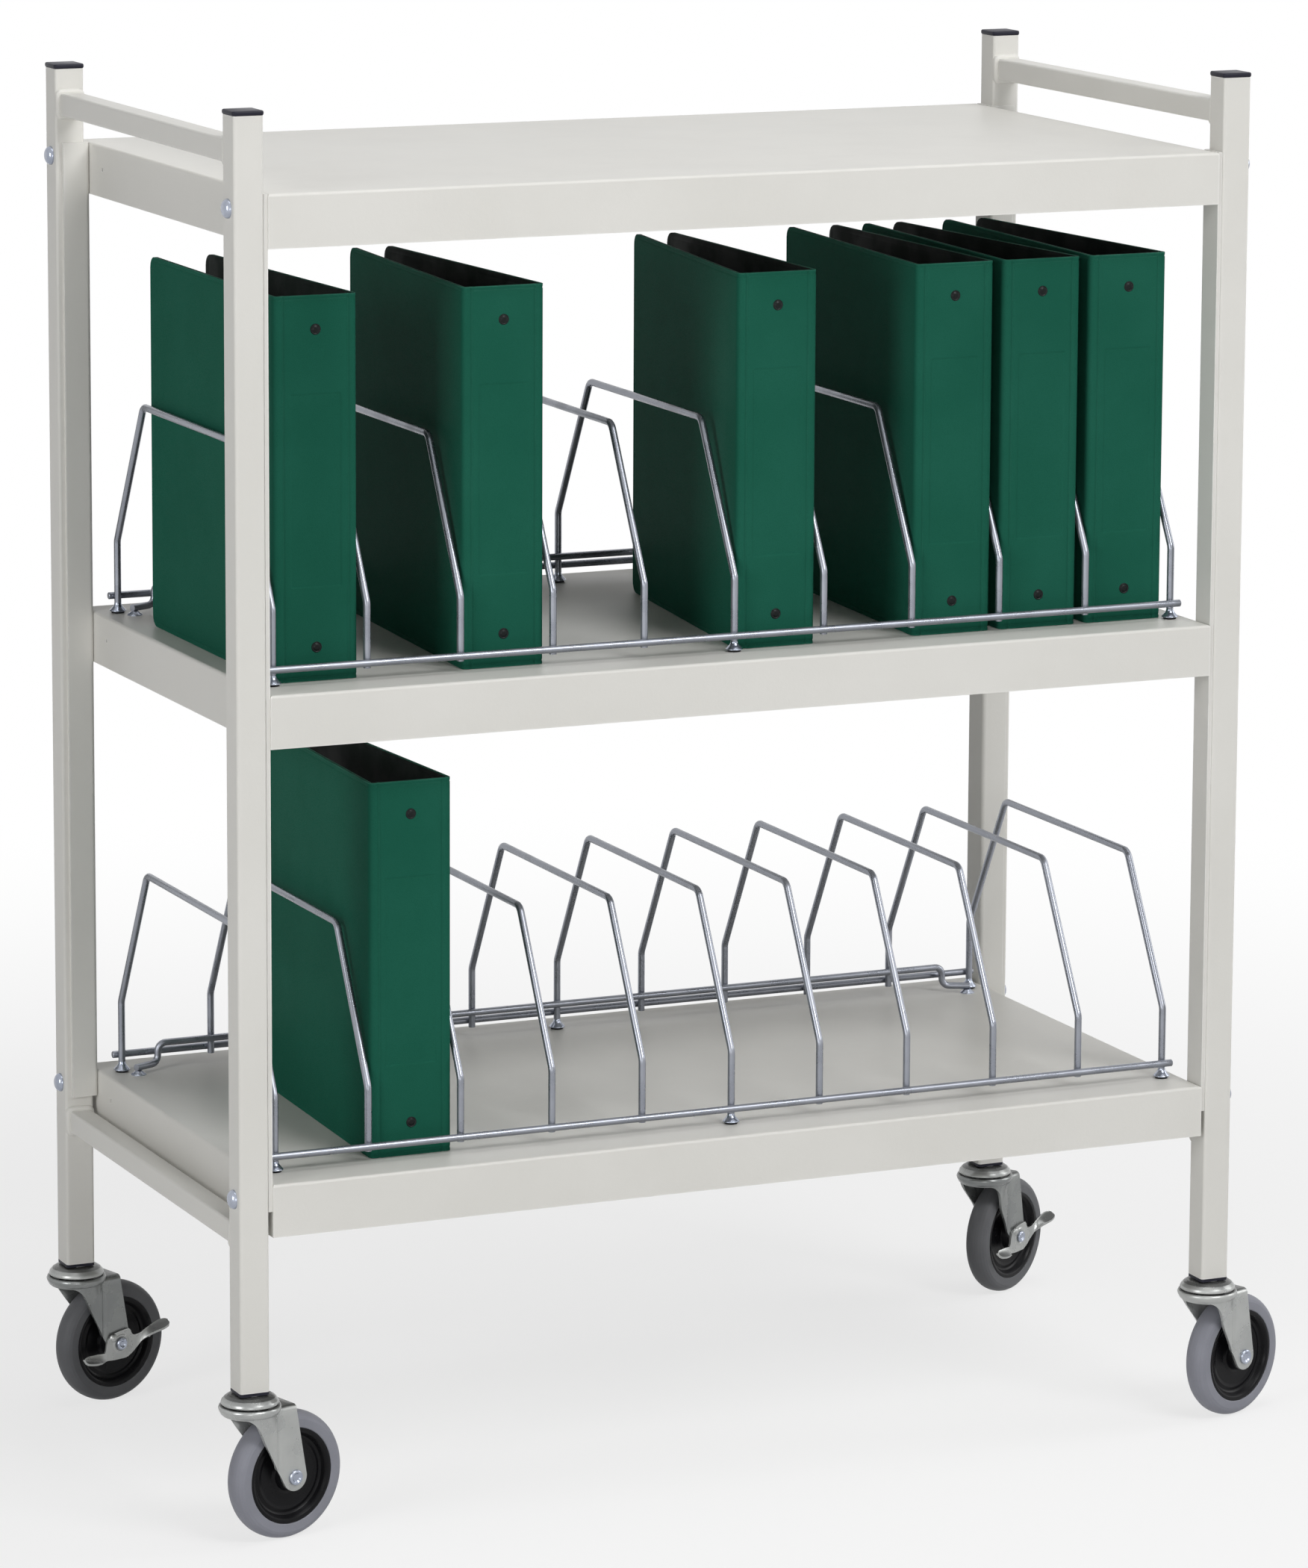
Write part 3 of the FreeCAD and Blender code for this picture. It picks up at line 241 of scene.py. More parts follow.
def make_metal(name, light, dark, roughness, metallic, relief=0.1, wear=0.5, dark_reflection=0.0):
    """Plated steel: a drifting tint, an uneven polish, rubbed edges, and upper faces darkened as a painted
    dark reflection.
    """
    finish = Finish(name, Metallic=metallic, Specular_IOR_Level=0.3)
    tree = finish.tree
    grain = finish.effect(GRAIN, Fine_Scale=1500.0, Mottle_Scale=38.0)
    edges = finish.effect(EDGE_WEAR_AND_HIGHLIGHT, Width=0.0006)["Mask"]
    tint = tree.mix_color(grain["Mottle"], dark, light)
    dark_reflection_mask = finish.effect(PAINTED_DARK_REFLECTION, Amount=dark_reflection)["Mask"]
    # Upper faces turn nearly black: a painted dark reflection of what lies above them.
    with_dark_reflection = tree.mix_color(dark_reflection_mask, tint, shade_of(dark, 0.16))
    rubbed = tree.math("MULTIPLY", edges, wear)
    finish.set("Base Color", tree.mix_color(rubbed, with_dark_reflection, shade_of(light, 1.9)))
    finish.set("Roughness", tree.remap(grain["Mottle"], 0.0, 1.0, roughness * 0.8, roughness * 1.25))
    finish.set("Normal", tree.bump(grain["Relief"], relief, 0.0002))
    return finish.material


def make_plastic(name, color, worn, roughness, fine_scale=1100.0, relief=0.15):
    """Moulded plastic or rubber: an even spark-eroded texture, paler where edges rub."""
    finish = Finish(name, Specular_IOR_Level=0.12)
    tree = finish.tree
    grain = finish.effect(GRAIN, Fine_Scale=fine_scale, Mottle_Scale=30.0)
    edges = finish.effect(EDGE_WEAR_AND_HIGHLIGHT, Width=0.0008)["Mask"]
    dust = finish.effect(DUST, Amount=0.5)["Mask"]
    mottled = tree.mix_color(grain["Mottle"], color, shade_of(color, 1.12))
    edged = tree.mix_color(tree.math("MULTIPLY", edges, 0.6), mottled, worn)
    finish.set("Base Color", tree.mix_color(tree.math("MULTIPLY", dust, 0.4), edged, worn))
    finish.set("Roughness", tree.remap(grain["Mottle"], 0.0, 1.0, roughness * 0.88, roughness * 1.12))
    finish.set("Normal", tree.bump(grain["Relief"], relief, 0.0002))
    return finish.material


def make_vinyl():
    """Heat-sealed green vinyl: a pebbled leather grain, paler along its folds as a painted highlight with
    some rubbing.
    """
    finish = Finish("green_binder_vinyl", Specular_IOR_Level=0.006)
    tree = finish.tree
    grain = finish.effect(GRAIN, Fine_Scale=1300.0, Mottle_Scale=12.0)
    edges = finish.effect(EDGE_WEAR_AND_HIGHLIGHT, Width=0.0016)["Mask"]
    inputs = {"Vector": finish.place, "Scale": 1500.0}
    cells = tree.add("ShaderNodeTexVoronoi", inputs, feature="SMOOTH_F1").outputs["Distance"]
    green = tree.mix_color(grain["Mottle"], rgb(0.013, 0.102, 0.066), rgb(0.016, 0.113, 0.075))
    pores = tree.math("MULTIPLY", tree.remap(cells, 0.25, 0.7), 0.35)
    pored = tree.mix_color(pores, green, rgb(0.009, 0.080, 0.051))
    # Folds and edges turn paler green: a painted highlight, partly rubbing.
    rubbed = tree.math("MULTIPLY", edges, 0.8)
    finish.set("Base Color", tree.mix_color(rubbed, pored, rgb(0.07, 0.26, 0.19)))
    finish.set("Roughness", tree.remap(cells, 0.2, 0.7, 0.42, 0.56))
    pits = tree.math("MULTIPLY", cells, -0.8)
    fine = tree.math("MULTIPLY", grain["Relief"], 0.3)
    finish.set("Normal", tree.bump(tree.math("ADD", pits, fine), 0.3, 0.0003))
    return finish.material


PAINT = make_frame_paint()
WIRE_PLATE = make_metal(
    "bright_wire_plate", rgb(0.30, 0.315, 0.355), rgb(0.26, 0.275, 0.315), 0.3, 0.75, wear=0.0
)
ZINC = make_metal("bright_zinc", rgb(0.40, 0.43, 0.50), rgb(0.30, 0.33, 0.40), 0.22, 0.85)
# The caster zincs darken their upper faces: a painted dark reflection.
CASTER_ZINC = make_metal(
    "satin_zinc", rgb(0.44, 0.45, 0.44), rgb(0.37, 0.38, 0.375), 0.28, 0.5, 0.16, dark_reflection=0.9
)
# A darker copy of the satin zinc for the rear, braked casters: painted shade for the shadow they stand in.
SHADED_ZINC = make_metal(
    "shaded_zinc_copy", rgb(0.27, 0.28, 0.275), rgb(0.22, 0.23, 0.23), 0.26, 0.6, 0.16, dark_reflection=0.8
)
RING_NICKEL = make_metal("ring_nickel", rgb(0.46, 0.40, 0.28), rgb(0.32, 0.27, 0.18), 0.28, 0.85)
BLACK_PLASTIC = make_plastic("cap_plastic", rgb(0.020, 0.020, 0.030), rgb(0.10, 0.10, 0.13), 0.42)
HUB_PLASTIC = make_plastic("hub_plastic", rgb(0.006, 0.006, 0.007), rgb(0.03, 0.03, 0.035), 0.30)
TYRE_RUBBER = make_plastic("grey_tyre_rubber", rgb(0.245, 0.250, 0.285), rgb(0.34, 0.34, 0.37), 0.5, 900.0)
# A darker copy of the tyre rubber for the rear, braked casters: painted shade, with the front tyres'
# rubber as the lit copy.
SHADED_TYRE_RUBBER = make_plastic("shaded_tyre_rubber", rgb(0.135, 0.138, 0.146), rgb(0.26, 0.26, 0.28), 0.5, 900.0)
BLACK_RUBBER = make_plastic("grommet_rubber", rgb(0.015, 0.015, 0.017), rgb(0.08, 0.08, 0.08), 0.6)
EYELET = make_plastic("burnished_rivet", rgb(0.009, 0.011, 0.011), rgb(0.045, 0.055, 0.055), 0.32)
VINYL = make_vinyl()
# The covers' inner faces are near black: painted shade inside the binders.
INSIDE_SHADE = make_plastic("painted_shade_cover_inside", rgb(0.006, 0.011, 0.009), rgb(0.02, 0.03, 0.03), 0.7)


# ---- mesh helpers ------------------------------------------------------------------------------


def rounded(points, radius, steps=4, closed=False):
    """The polyline with its corners rounded. A radius is one number, or one for each point."""
    points = [Vector(point) for point in points]
    total = len(points)
    result = []
    for index, corner in enumerate(points):
        size = radius[index] if isinstance(radius, (list, tuple)) else radius
        at_end = not closed and index in (0, total - 1)
        if at_end or size == 0:
            result.append(corner)
            continue
        to_previous = points[index - 1] - corner
        to_next = points[(index + 1) % total] - corner
        room = 0.499 * min(to_previous.length, to_next.length)
        setback = min(room, size / math.tan(to_previous.angle(to_next) / 2))
        start = corner + to_previous.normalized() * setback
        end = corner + to_next.normalized() * setback
        for step in range(steps + 1):
            share = step / steps
            first, second = start.lerp(corner, share), corner.lerp(end, share)
            result.append(first.lerp(second, share))
    return result


def bridge(mesh, lower, upper, closed=True):
    """Faces between two rows of points; a row of one point is a pole."""
    count = max(len(lower), len(upper))
    for index in range(count if closed else count - 1):
        following = (index + 1) % count
        corners = []
        for row, order in ((lower, (index, following)), (upper, (following, index))):
            corners += [row[0]] if len(row) == 1 else [row[place] for place in order]
        mesh.faces.new(corners)


def lathe(profile, steps=64, closed=False):
    """A surface turned about Z from (radius, height) points."""
    mesh = bmesh.new()
    rings = []
    for radius, height in profile:
        if radius < 1e-6:
            rings.append([mesh.verts.new((0, 0, height))])
            continue
        turns = [2 * math.pi * step / steps for step in range(steps)]
        rings.append([mesh.verts.new((radius * math.cos(t), radius * math.sin(t), height)) for t in turns])
    for lower, upper in zip(rings, rings[1:] + rings[:1] if closed else rings[1:]):
        bridge(mesh, lower, upper)
    bmesh.ops.recalc_face_normals(mesh, faces=mesh.faces)
    return mesh


def prism(outline, low, high):
    """A solid between two heights from an outline in X and Y."""
    mesh = bmesh.new()
    lower = [mesh.verts.new((x, y, low)) for x, y in outline]
    upper = [mesh.verts.new((x, y, high)) for x, y in outline]
    bridge(mesh, lower, upper)
    mesh.faces.new(lower)
    mesh.faces.new(upper)
    bmesh.ops.recalc_face_normals(mesh, faces=mesh.faces)
    return mesh


def grid(rows):
    """A sheet through rows of points."""
    mesh = bmesh.new()
    verts = [[mesh.verts.new(point) for point in row] for row in rows]
    for lower, upper in zip(verts, verts[1:]):
        bridge(mesh, lower, upper, closed=False)
    return mesh


def merged(*parts):
    """One mesh from several, each given with its place and its material index."""
    total = bmesh.new()
    for mesh, place, material_index in parts:
        mesh.transform(place)
        for face in mesh.faces:
            face.material_index = material_index
        copy = bpy.data.meshes.new("part")
        mesh.to_mesh(copy)
        total.from_mesh(copy)
        mesh.free()
        bpy.data.meshes.remove(copy)
    return total


def evaluated_mesh(holder):
    """The finished mesh of an object with modifiers, which is then removed."""
    bpy.context.collection.objects.link(holder)
    depsgraph = bpy.context.evaluated_depsgraph_get()
    mesh = bpy.data.meshes.new_from_object(holder.evaluated_get(depsgraph))
    holder.modifiers.clear()
    bpy.data.objects.remove(holder)
    return mesh


def modified(mesh, *modifiers):
    """The mesh after modifiers, each given as a kind and its settings."""
    data = bpy.data.meshes.new("modified")
    # Two slots, so that a modifier can put its new faces on a second material.
    for material in (PAINT, PAINT):
        data.materials.append(material)
    mesh.to_mesh(data)
    mesh.free()
    holder = bpy.data.objects.new("modified", data)
    for kind, settings in modifiers:
        modifier = holder.modifiers.new(kind, kind)
        for name, value in settings.items():
            setattr(modifier, name, value)
    result = bmesh.new()
    result.from_mesh(evaluated_mesh(holder))
    return result


def edge_bevel(width, segments=2):
    angle = math.radians(38)
    settings = {"width": width, "segments": segments, "limit_method": "ANGLE", "angle_limit": angle}
    return "BEVEL", settings


def add_piece(name, mesh, materials, body, replaces=(), smooth_angle=38):
    """Make the mesh a piece that rides on a body and stands for CAD nodes."""
    if isinstance(mesh, bmesh.types.BMesh):
        data = bpy.data.meshes.new(name)
        mesh.to_mesh(data)
        mesh.free()
    else:
        data = mesh
        data.name = name
        data.materials.clear()
    for material in materials:
        data.materials.append(material)
    data.shade_smooth()
    data.set_sharp_from_angle(angle=math.radians(smooth_angle))
    piece = bpy.data.objects.new(name, data)
    bpy.context.collection.objects.link(piece)
    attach(piece, body)
    if replaces:
        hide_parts(*replaces)
    return piece


# ---- geometry trees ----------------------------------------------------------------------------


def make_wire_tree():
    """A bent round wire along a curve: the corners are filleted and the ends cut flat."""
    inputs = [
        ("Geometry", "NodeSocketGeometry", None),
        ("Wire Radius", "NodeSocketFloat", 0.003),
        ("Bend Radius", "NodeSocketFloat", 0.01),
        ("Sides", "NodeSocketInt", 14),
        ("Material", "NodeSocketMaterial", None),
    ]
    outputs = [("Geometry", "NodeSocketGeometry")]
    group, tree, given, result = new_group("bent_wire", "GeometryNodeTree", inputs, outputs)
    fillet_inputs = {"Curve": given["Geometry"], "Radius": given["Bend Radius"]}
    fillet = tree.add("GeometryNodeFilletCurve", fillet_inputs, mode="POLY")
    fillet.inputs["Count"].default_value = 7
    fillet.inputs["Limit Radius"].default_value = True
    circle_inputs = {"Resolution": given["Sides"], "Radius": given["Wire Radius"]}
    circle = tree.add("GeometryNodeCurvePrimitiveCircle", circle_inputs)
    sweep_inputs = {"Curve": fillet.outputs[0], "Profile Curve": circle.outputs[0], "Fill Caps": True}
    sweep = tree.add("GeometryNodeCurveToMesh", sweep_inputs)
    realized = tree.add("GeometryNodeRealizeInstances", {0: sweep.outputs[0]})
    painted = tree.add("GeometryNodeSetMaterial", {0: realized.outputs[0], "Material": given["Material"]})
    tree.feed(result["Geometry"], painted.outputs[0])
    return group


def make_rows_tree():
    """Copies of a piece in columns along X, rows along Y and levels along Z."""
    inputs = [("Geometry", "NodeSocketGeometry", None)]
    for label in ("Columns", "Rows", "Levels"):
        inputs.append((label, "NodeSocketInt", 1))
        inputs.append((f"{label} Apart", "NodeSocketFloat", 0.0))
    inputs.append(("Material", "NodeSocketMaterial", None))
    outputs = [("Geometry", "NodeSocketGeometry")]
    group, tree, given, result = new_group("rows_of_copies", "GeometryNodeTree", inputs, outputs)
    copies = given["Geometry"]
    for label, axis in (("Columns", "X"), ("Rows", "Y"), ("Levels", "Z")):
        step = tree.add("ShaderNodeCombineXYZ", {axis: given[f"{label} Apart"]})
        line_inputs = {"Count": given[label], "Offset": step.outputs[0]}
        line = tree.add("GeometryNodeMeshLine", line_inputs, mode="OFFSET")
        spread_inputs = {"Points": line.outputs[0], "Instance": copies}
        copies = tree.add("GeometryNodeInstanceOnPoints", spread_inputs).outputs[0]
    realized = tree.add("GeometryNodeRealizeInstances", {0: copies})
    painted = tree.add("GeometryNodeSetMaterial", {0: realized.outputs[0], "Material": given["Material"]})
    tree.feed(result["Geometry"], painted.outputs[0])
    return group


WIRE_TREE = make_wire_tree()
ROWS_TREE = make_rows_tree()


def add_tree(holder, group, inputs):
    modifier = holder.modifiers.new(group.name, "NODES")
    modifier.node_group = group
    sockets = {item.name: item.identifier for item in group.interface.items_tree if item.in_out == "INPUT"}
    for label, value in inputs.items():
        modifier[sockets[label]] = value


def add_rows(holder, material, counts):
    """Repeat in Columns, Rows or Levels, each given as how many and how far apart."""
    inputs = {"Material": material}
    for label, (count, apart) in counts.items():
        inputs[label] = count
        inputs[f"{label} Apart"] = apart
    add_tree(holder, ROWS_TREE, inputs)


def copies_of(mesh, material, **counts):
    """The mesh repeated in columns, rows or levels."""
    data = bpy.data.meshes.new("one")
    mesh.to_mesh(data)
    mesh.free()
    holder = bpy.data.objects.new("copies", data)
    add_rows(holder, material, counts)
    return evaluated_mesh(holder)


def bent_wire(points, radius, bend, material, closed=False, **counts):
    """A wire through the points, repeated if counts are given."""
    curve = bpy.data.curves.new("path", "CURVE")
    curve.dimensions = "3D"
    spline = curve.splines.new("POLY")
    spline.points.add(len(points) - 1)
    for place, point in zip(spline.points, points):
        place.co = (*point, 1.0)
    spline.use_cyclic_u = closed
    holder = bpy.data.objects.new("wire", curve)
    add_tree(holder, WIRE_TREE, {"Wire Radius": radius, "Bend Radius": bend, "Material": material})
    if counts:
        add_rows(holder, material, counts)
    return evaluated_mesh(holder)


# ---- places read from the frame ----------------------------------------------------------------


def middle(node):
    low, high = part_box(node)
    return (low + high) / 2


POST_LOW, POST_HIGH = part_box("post_front_left")
POST = middle("post_front_left")
POST_SIZE = POST_HIGH.x - POST_LOW.x
POST_COLUMNS = (2, -2 * POST.x)
POST_ROWS = (2, -2 * POST.y)
SHELF_TOPS = {name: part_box(f"shelf_{name}")[1].z for name in ("bottom", "middle", "top")}
SHELF_PITCH = SHELF_TOPS["middle"] - SHELF_TOPS["bottom"]
WIRE_RADIUS = (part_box("front_rod_bottom")[1].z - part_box("front_rod_bottom")[0].z) / 2
DIVIDER_LOW, DIVIDER_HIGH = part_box("dividers_bottom")
FIRST_DIVIDER = DIVIDER_LOW.x + WIRE_RADIUS
RACK_SPAN = -2 * FIRST_DIVIDER
FOOT_REACH = DIVIDER_HIGH.y - WIRE_RADIUS
DIVIDER_COUNT = 11


def finish_frame():
    """The welded and pressed pieces keep their own shapes and get the powder coat."""
    painted = [f"{kind}_{corner}" for kind in ("post", "angle") for corner in CORNERS]
    painted += [f"{kind}_{side}" for kind in ("handle", "cross_rail") for side in ("left", "right")]
    painted += [f"shelf_{name}" for name in SHELF_TOPS]
    finishes = {name: PAINT for name in painted}
    finishes.update({name: ZINC for name in ("frame_nuts", "foot_nuts", "rail_nuts", "caster_balls")})
    finishes["caster_plugs"] = BLACK_PLASTIC
    for name, material in finishes.items():
        for material_slot in nodes[name].material_slots:
            material_slot.material = material


def add_post_caps():
    """Plastic caps with a slight overhang, a soft top edge and a skirt inside the tube."""
    low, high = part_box("post_caps")
    overhang = 0.0006
    half = POST_SIZE / 2 + overhang
    skirt_half = POST_SIZE / 2 - 0.0017
    top, base = high.z, POST_HIGH.z
    square = [(-half, -half), (half, -half), (half, half), (-half, half)]
    plate = prism(rounded(square, 0.003, closed=True), base, top)
    plate = modified(plate, edge_bevel(0.0014, 3))
    skirt = prism([(x * skirt_half / half, y * skirt_half / half) for x, y in square], low.z, base + 0.001)
    place = Matrix.Translation((POST.x, POST.y, 0))
    cap = merged((plate, place, 0), (skirt, place, 0))
    mesh = copies_of(cap, BLACK_PLASTIC, Columns=POST_COLUMNS, Rows=POST_ROWS)
    add_piece("moulded_post_caps", mesh, [BLACK_PLASTIC], "rack", ["post_caps"])


def add_frame_bolts():
    """Domed heads outside the posts, on plain shanks that reach the nuts."""
    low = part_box("frame_bolts")[0]
    head_radius, head_height, shank_radius = 0.008, POST_LOW.x - low.x, 0.003
    shank_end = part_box("frame_nuts")[0].x + 0.009 - POST_LOW.x
    dome = [(0.0, -head_height), (0.55 * head_radius, -0.93 * head_height)]
    dome += [(0.84 * head_radius, -0.66 * head_height), (0.98 * head_radius, -0.22 * head_height)]
    profile = rounded(dome + [(head_radius, 0.0)], 0.004)
    profile += [Vector((shank_radius, 0.0)), Vector((shank_radius, shank_end)), Vector((0.0, shank_end))]
    first_height = low.z + head_radius
    pair = []
    for side in (1, -1):
        turn = Matrix.Rotation(side * math.pi / 2, 4, "Y")
        place = Matrix.Translation((side * POST_LOW.x, POST.y, first_height))
        pair.append((lathe(profile, 40), place @ turn, 0))
    mesh = copies_of(merged(*pair), ZINC, Rows=POST_ROWS, Levels=(2, 2 * SHELF_PITCH))
    add_piece("domed_frame_bolts", mesh, [ZINC], "rack", ["frame_bolts"])


def add_weld_beads():
    """A soft fillet of weld, painted over, round both ends of every rail."""
    handle, cross_rail = middle("handle_left"), middle("cross_rail_left")
    low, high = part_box("handle_left")
    half, bead = (high.z - low.z) / 2, 0.0031
    reach = half + 0.0004
    y = low.y + 0.0004
    ring = [(-reach, y, -reach), (reach, y, -reach), (reach, y, reach), (-reach, y, reach)]
    points = [(handle.x + x, y, cross_rail.z + z) for x, y, z in ring]
    levels = (2, handle.z - cross_rail.z)
    rows = (2, -2 * y)
    mesh = bent_wire(
        points, bead, 0.003, PAINT, closed=True, Columns=POST_COLUMNS, Rows=rows, Levels=levels
    )
    add_piece("rail_weld_beads", mesh, [PAINT], "rack")


# ---- wire racks --------------------------------------------------------------------------------

DIVIDER_COLUMNS = (DIVIDER_COUNT, RACK_SPAN / (DIVIDER_COUNT - 1))
STOP_FLANGE = 0.0065


def stop_foot():
    """The place where the left end of a stop rail stands on the shelf."""
    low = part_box("rail_feet")[0]
    return Vector((low.x + STOP_FLANGE, low.y + STOP_FLANGE))


def add_wire_rack(name):
    """Bent dividers, the rods welded across them and the stepped stop rail of one shelf."""
    shelf = SHELF_TOPS[name]
    low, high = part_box(f"dividers_{name}")
    arch = high.z - WIRE_RADIUS
    knee, top_reach, bend = shelf + 0.062, 0.1155, 0.010
    right = [(top_reach, arch), (FOOT_REACH, knee), (FOOT_REACH, low.z)]
    side_view = [(-y, z) for y, z in reversed(right)] + right
    points = [(FIRST_DIVIDER, y, z) for y, z in side_view]
    dividers = bent_wire(points, WIRE_RADIUS, bend, WIRE_PLATE, Columns=DIVIDER_COLUMNS)
    add_piece(
        f"bent_dividers_{name}", dividers, [WIRE_PLATE], "rack", [f"dividers_{name}"]
    )
    for side in ("front", "rear"):
        node = f"{side}_rod_{name}"
        low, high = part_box(node)
        place, chamfer = middle(node), 0.0005
        length = high.x - low.x
        profile = [(0, 0), (WIRE_RADIUS - chamfer, 0), (WIRE_RADIUS, chamfer)]
        profile += [(radius, length - along) for radius, along in reversed(profile)]
        turn = Matrix.Rotation(math.pi / 2, 4, "Y")
        rod = merged((lathe(profile, 20), Matrix.Translation((low.x, place.y, place.z)) @ turn, 0))
        add_piece(f"{side}_cross_rod_{name}", rod, [WIRE_PLATE], "rack", [node])
    add_stop_rail(name)


def add_stop_rail(name):
    """The rail across the back of a rack: its ends step down and outward to their feet."""
    node = f"stop_rail_{name}"
    low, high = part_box(node)
    rail_y, rail_z = high.y - WIRE_RADIUS, high.z - WIRE_RADIUS
    foot = stop_foot()
    step_out, past_foot = 0.021, 0.0022
    end_x, foot_z = foot.x + step_out, low.z + WIRE_RADIUS
    left = [(foot.x - past_foot, foot.y, foot_z), (end_x, rail_y, foot_z), (end_x, rail_y, rail_z)]
    points = left + [(-x, y, z) for x, y, z in reversed(left)]
    rail = bent_wire(points, WIRE_RADIUS, 0.007, WIRE_PLATE)
    add_piece(f"stepped_stop_rail_{name}", rail, [WIRE_PLATE], "rack", [node])


def add_weld_nuggets():
    """A small pinch of metal wherever a divider's leg crosses a rod."""
    nugget = bmesh.new()
    bmesh.ops.create_icosphere(nugget, subdivisions=2, radius=0.0017)
    rod = middle("front_rod_bottom")
    rod_y = (FOOT_REACH - rod.y) / 2
    crossings = [(-rod_y, rod.z), (rod_y, rod.z)]
    flatten = Matrix.Diagonal((1.3, 0.75, 1.3, 1.0))
    parts = []
    for y, z in crossings:
        place = Matrix.Translation((FIRST_DIVIDER, y, z)) @ flatten
        parts.append((nugget.copy(), place, 0))
    nugget.free()
    mesh = copies_of(merged(*parts), WIRE_PLATE, Columns=DIVIDER_COLUMNS, Levels=(2, SHELF_PITCH))
    add_piece("rod_weld_nuggets", mesh, [WIRE_PLATE], "rack")


def add_feet():
    """Flared feet on thin rubber rings below the racks, and short ones below the stop rails."""
    shelf = SHELF_TOPS["bottom"]
    grommet_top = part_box("foot_grommets")[1].z - SHELF_TOPS["middle"]
    low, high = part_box("rack_feet")
    foot_top, stud = high.z - SHELF_TOPS["middle"], 0.0025
    stud_low = low.z - shelf
    neck, flange = WIRE_RADIUS, 0.007
    profile = [(0, foot_top), (neck, foot_top), (neck + 0.0002, grommet_top + 0.0056)]
    profile += [(0.0041, grommet_top + 0.0040), (0.0056, grommet_top + 0.0024)]
    profile += [(flange - 0.0004, grommet_top + 0.0013), (flange, grommet_top + 0.0008)]
    profile += [(flange, grommet_top + 0.0001), (stud, grommet_top), (stud, stud_low), (0, stud_low)]
    place = Matrix.Translation((FIRST_DIVIDER, -FOOT_REACH, shelf))
    spread = {"Columns": (3, RACK_SPAN / 2), "Rows": (2, 2 * FOOT_REACH), "Levels": (2, SHELF_PITCH)}
    feet = merged((lathe(rounded(profile, 0.0004, 2), 32), place, 0))
    add_piece(
        "flanged_feet", copies_of(feet, ZINC, **spread), [ZINC], "rack", ["rack_feet"]
    )
    outer, ring_low = 0.0055, 0.0
    ring = [(stud, ring_low), (outer, ring_low), (outer, grommet_top), (stud, grommet_top)]
    rings = merged((lathe(rounded(ring, 0.0005, 3, closed=True), 32, closed=True), place, 0))
    mesh = copies_of(rings, BLACK_RUBBER, **spread)
    add_piece("rubber_foot_rings", mesh, [BLACK_RUBBER], "rack", ["foot_grommets"])

    stop, flange = stop_foot(), STOP_FLANGE
    profile = [(0, 0.0034), (neck, 0.0033), (0.0045, 0.0020), (flange - 0.0004, 0.0010)]
    profile += [(flange, 0.0006), (flange, 0.0), (stud, 0.0), (stud, stud_low), (0, stud_low)]
    foot = merged((lathe(profile, 32), Matrix.Translation((stop.x, stop.y, shelf)), 0))
    mesh = copies_of(foot, ZINC, Columns=(2, -2 * stop.x), Levels=(2, SHELF_PITCH))
    add_piece("stop_rail_feet", mesh, [ZINC], "rack", ["rail_feet"])


# ---- casters -----------------------------------------------------------------------------------

# A caster's own frame: the origin is on the floor below its stem and +X points the way it trails.
POST_BASE = POST_LOW.z
SWIVELS = {corner: Vector(joints[f"swivel_{corner}"]["pos_m"]) for corner in CORNERS}
AXLES = {corner: Vector(joints[f"wheel_{corner}"]["pos_m"]) for corner in CORNERS}
TRAIL = (AXLES["front_left"] - SWIVELS["front_left"]).xy.length
AXLE_HEIGHT = AXLES["front_left"].z
LEG_FACE = 0.0155
FORK_SHEET = 0.0025
CROWN_RADIUS = 0.0258
SADDLE_TOP = POST_BASE - 0.0155
LEG_ROUND = 0.0115

# The pressed crease between the leg and the web: its distance from the stem, and its size.
CREASE = TRAIL - 0.0162
CREASE_HALF = 0.0022
CREASE_DEPTH = 0.0012
# The bend between the top of a leg and the saddle.
FOLD = 0.0046


def smooth_step(value, low, high):
    share = min(1.0, max(0.0, (value - low) / (high - low)))
    return share * share * (3 - 2 * share)


def dip(value, centre, width):
    """A groove's depth across its width, from 0 outside to 1 in the middle."""
    away = abs(value - centre) / (width / 2)
    return 0.0 if away >= 1 else (1 + math.cos(math.pi * away)) / 2


def caster_place(corner):
    along = (AXLES[corner] - SWIVELS[corner]).xy
    turn = Matrix.Rotation(math.atan2(along.y, along.x), 4, "Z")
    return Matrix.Translation((SWIVELS[corner].x, SWIVELS[corner].y, 0)) @ turn


def add_raceways():
    """Stem, neck, domed upper raceway and kingpin of every caster."""
    stem, neck, outer = 0.0055, 0.011, 0.0237
    dome = [(neck, -0.0025), (neck, -0.0033), (0.0140, -0.0033), (0.0178, -0.0038), (0.0208, -0.0056)]
    dome += [(outer - 0.0006, -0.0082), (outer, -0.0098), (outer, -0.0108), (outer - 0.0006, -0.0113)]
    under = [(outer - 0.0020, -0.0110), (outer - 0.0024, -0.0098), (0.0175, -0.0082), (0.006, -0.0082)]
    pin = [(0.006, -0.0183), (0.009, -0.0183), (0.009, -0.0210), (0.007, -0.0220), (0, -0.0220)]
    top = [(0, 0.042), (stem - 0.0008, 0.042), (stem, 0.0412), (stem, -0.0025)]
    profile = [(radius, POST_BASE + height) for radius, height in top + dome + under + pin]
    body = merged((lathe(rounded(profile, 0.0009, 2), 72), Matrix.Translation((POST.x, POST.y, 0)), 0))
    mesh = copies_of(body, CASTER_ZINC, Columns=POST_COLUMNS, Rows=POST_ROWS)
    add_piece("domed_raceways", mesh, [CASTER_ZINC], "rack", ["caster_stems"])


